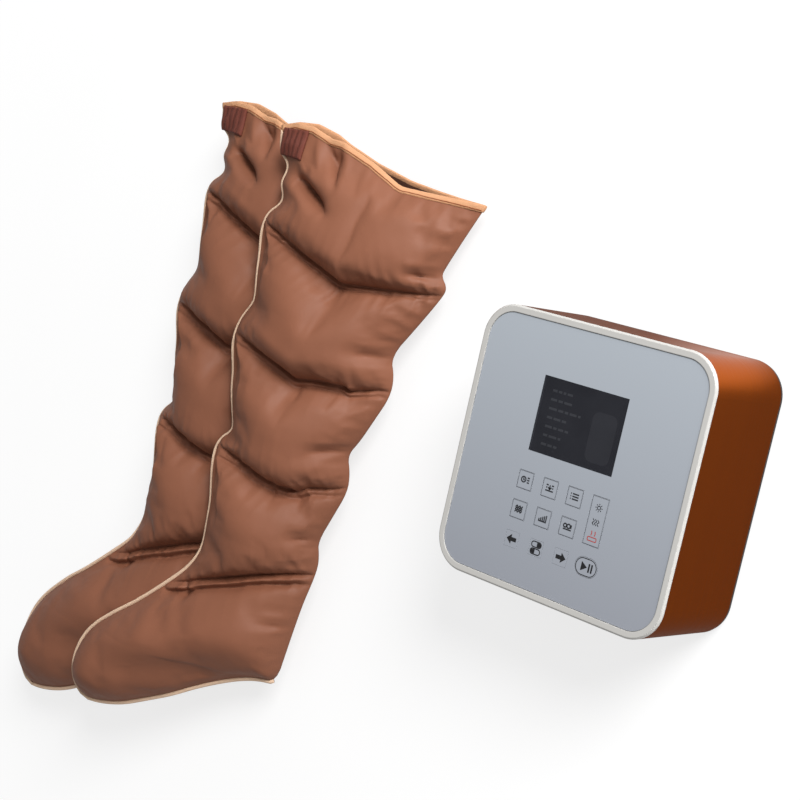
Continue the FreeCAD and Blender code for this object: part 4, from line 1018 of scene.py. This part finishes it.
def piping(lay):
    """Cord sewn in the seam down the shin, round the toe and along the sole."""
    shin, calf = rounded(SHIN), rounded(CALF)
    heel = int(np.argmin(np.hypot(calf[:, 0] - 30, calf[:, 1] - 3)))
    line = np.vstack((shin, calf[:heel - 1:-1]))
    line = points_at(line, np.arange(2.0, lengths(line)[-1], 4.0))
    way = unit(np.gradient(line, axis=0))
    outward = np.stack((-way[:, 1], way[:, 0]), axis=1)
    # Above the ankle the cord is partly tucked between the sheets.
    tuck = lay.tucked * climb(line[:, 1], 60, 60)[:, None]
    seam = line + outward * (1.6 - 2.2 * tuck)
    flat = np.zeros(len(seam))
    path = lay.place(seam[:, 0], seam[:, 1], flat)
    beside = lay.place(seam[:, 0] + outward[:, 0], seam[:, 1] + outward[:, 1], flat)
    rings = sweep(path, unit(beside - path), oval(0, 2.3, 2.0, 10), False)
    rings = path[:, None] + (rings - path[:, None]) * (1 - 0.5 * tuck[:, :, None])
    above_table(rings)
    piece = tube(lay.name + "_cord", rings, False, PIPING)
    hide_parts(lay.name + "_piping")
    return piece


def spot_on(sheet, plan, place):
    """Position on a sheet at a place of the plan, also a little past its edge."""
    gap = ((plan - place) ** 2).sum(axis=-1)
    i, j = np.unravel_index(np.argmin(gap), gap.shape)
    i, j = min(i, gap.shape[0] - 2), min(j, gap.shape[1] - 2)
    steps = np.stack([plan[i + 1, j] - plan[i, j], plan[i, j + 1] - plan[i, j]], axis=1)
    f, g = np.linalg.solve(steps, place - plan[i, j])
    return sheet[i, j] + f * (sheet[i + 1, j] - sheet[i, j]) + g * (sheet[i, j + 1] - sheet[i, j])


def tab(lay, top, plan):
    """Ribbed webbing tab sewn on at the rim, by the shin."""
    rows, columns = TAB_ROWS, TAB_COLUMNS
    corner = np.array(TAB_CORNERS, float)
    spots = np.empty((rows, columns, 3))
    for i, v in enumerate(np.linspace(0, 1, rows)):
        for j, u in enumerate(np.linspace(0, 1, columns)):
            at_rim = corner[0] * (1 - u) + corner[1] * u
            at_foot = corner[3] * (1 - u) + corner[2] * u
            spots[i, j] = spot_on(top, plan, at_rim * (1 - v) + at_foot * v)
    for _ in range(12):
        wide = np.pad(spots, ((1, 1), (1, 1), (0, 0)), mode="reflect", reflect_type="odd")
        spots = blurred(wide)[1:-1, 1:-1]
    normal = unit(np.cross(np.gradient(spots, axis=0), np.gradient(spots, axis=1)))
    ribs = np.abs(np.sin(np.linspace(0, TAB_RIBS * math.pi, columns)))
    rise = np.full((rows, columns), TAB_RISE) + TAB_RIB * ribs
    rise[0] = rise[-1] = rise[:, 0] = rise[:, -1] = TAB_EDGE
    upper = spots + normal * rise[:, :, None] * MM
    lower = spots + normal * TAB_BACK * MM
    points = np.vstack((upper.reshape(-1, 3), lower.reshape(-1, 3)))
    n = rows * columns
    grid = np.arange(n).reshape(rows, columns)
    faces = sheet_faces(grid, False) + sheet_faces(grid + n, True)
    border = [int(i) for i in (*grid[0], *grid[1:, -1], *grid[-1, -2::-1], *grid[-2:0:-1, 0])]
    faces += [(a, b, b + n, a + n) for a, b in zip(border, border[1:] + border[:1])]
    piece = mesh_object(lay.name + "_webbing", points, faces, TAB)
    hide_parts(lay.name + "_tab")
    return piece


# ---- stage, light and camera ----

FLOOR_HALF, FLOOR_LEVEL = 9, -0.0004
FLOOR_GREY, SEEN_GREY = 0.8, 0.3  # as light sees the floor, and as the camera does
GLOW, GLOW_SPAN = (0.74, 0.96), (1.0, 5.0)  # strength, and from where to where in metres
# Strength and place of the floor patch that glows in reflections only: a painted reflection.
CARD_STRENGTH = 4.0
CARD_SPANS = (("X", -0.02, 0.08), ("Y", 0.12, 0.16))
WORLD_LIGHT = 0.34
CAMERA_LENS, CAMERA_SENSOR = 74.118, 36
CAMERA_PLACE = (0.8362, 0.2023, 1.3585)
CAMERA_RIGHT, CAMERA_LOOK = (0.7269, 0.2152, -0.6521), (-0.6434, -0.1185, -0.7563)


def floor():
    """A pale table that looks nearly white to the camera."""
    mesh = bpy.data.meshes.new("floor")
    corners = [(x * FLOOR_HALF, y * FLOOR_HALF, FLOOR_LEVEL)
               for x, y in ((-1, -1), (1, -1), (1, 1), (-1, 1))]
    mesh.from_pydata(corners, [], [(0, 1, 2, 3)])
    mat, tree = new_material("floor")
    tree.nodes.clear()
    path = add(tree, "ShaderNodeLightPath", {})
    surface = add(tree, "ShaderNodeBsdfDiffuse", {"Color": (*[FLOOR_GREY] * 3, 1)}).outputs[0]
    thin = add(tree, "ShaderNodeBsdfDiffuse", {"Color": (*[SEEN_GREY] * 3, 1)}).outputs[0]
    # The floor glows a little more towards its rim, where less lamp light falls on it.
    place = coords(tree)
    away = add(tree, "ShaderNodeVectorMath", {0: place})
    away.operation = "LENGTH"
    strength = spread(tree, away.outputs["Value"], *GLOW, *GLOW_SPAN)
    glow = add(tree, "ShaderNodeEmission", {"Strength": strength}).outputs[0]
    both = add(tree, "ShaderNodeAddShader", {0: thin, 1: glow}).outputs[0]
    # Painted reflection: polished metal sees a bright card, a patch of floor beside the pump's far
    # corner that glows for glossy rays only.
    card = add(tree, "ShaderNodeEmission", {"Strength": CARD_STRENGTH}).outputs[0]
    axes = add(tree, "ShaderNodeSeparateXYZ", {"Vector": place})
    seen = path.outputs["Is Glossy Ray"]
    for axis, start, end in CARD_SPANS:
        inside = spread(tree, axes.outputs[axis], 0.0, 1.0, start, end)
        times = add(tree, "ShaderNodeMath", {0: seen, 1: inside})
        times.operation = "MULTIPLY"
        seen = times.outputs[0]
    for chosen, shown in ((path.outputs["Is Camera Ray"], both), (seen, card)):
        surface = add(tree, "ShaderNodeMixShader", {0: chosen, 1: surface, 2: shown}).outputs[0]
    add(tree, "ShaderNodeOutputMaterial", {"Surface": surface})
    mesh.materials.append(mat)
    obj = new_object("floor", mesh)


def world():
    """White all round, brighter for the camera than for the object."""
    place = bpy.data.worlds.new("studio")
    place.use_nodes = True
    bpy.context.scene.world = place
    tree = place.node_tree
    seen = add(tree, "ShaderNodeLightPath", {}).outputs["Is Camera Ray"]
    fill(tree, tree.nodes["Background"], {
        "Color": (1, 1, 1, 1), "Strength": spread(tree, seen, WORLD_LIGHT, 1.0, 0, 1)})


def light(name, at, target, size, energy):
    """Soft round lamp aimed at a target."""
    lamp = bpy.data.lights.new(name, "AREA")
    lamp.shape = "DISK"
    lamp.size, lamp.energy = size, energy
    obj = new_object(name, lamp)
    obj.location = at
    obj.rotation_mode = "QUATERNION"
    obj.rotation_quaternion = (Vector(target) - Vector(at)).to_track_quat("-Z", "Y")


def camera():
    """The photograph's camera."""
    data = bpy.data.cameras.new("camera")
    data.lens, data.sensor_width = CAMERA_LENS, CAMERA_SENSOR
    data.clip_start, data.clip_end = 0.05, 50
    obj = new_object("camera", data)
    right = Vector(CAMERA_RIGHT).normalized()
    back = -Vector(CAMERA_LOOK).normalized()
    up = back.cross(right).normalized()
    turn = Matrix((right, up, back)).transposed().to_4x4()
    obj.matrix_world = Matrix.Translation(CAMERA_PLACE) @ turn
    bpy.context.scene.camera = obj


dress_cad()
face_marks()
for lay in (LOWER, UPPER):
    sleeve(lay)
floor()
world()
light("softbox", (2.6, 3.1, 2.8), (-0.35, -0.1, 0), 2.3, 282)
light("side_box", (1.2, 1.3, 0.36), (0.1, 0.1, 0.06), 0.6, 11)
camera()
bpy.context.scene.view_settings.view_transform = "Standard"
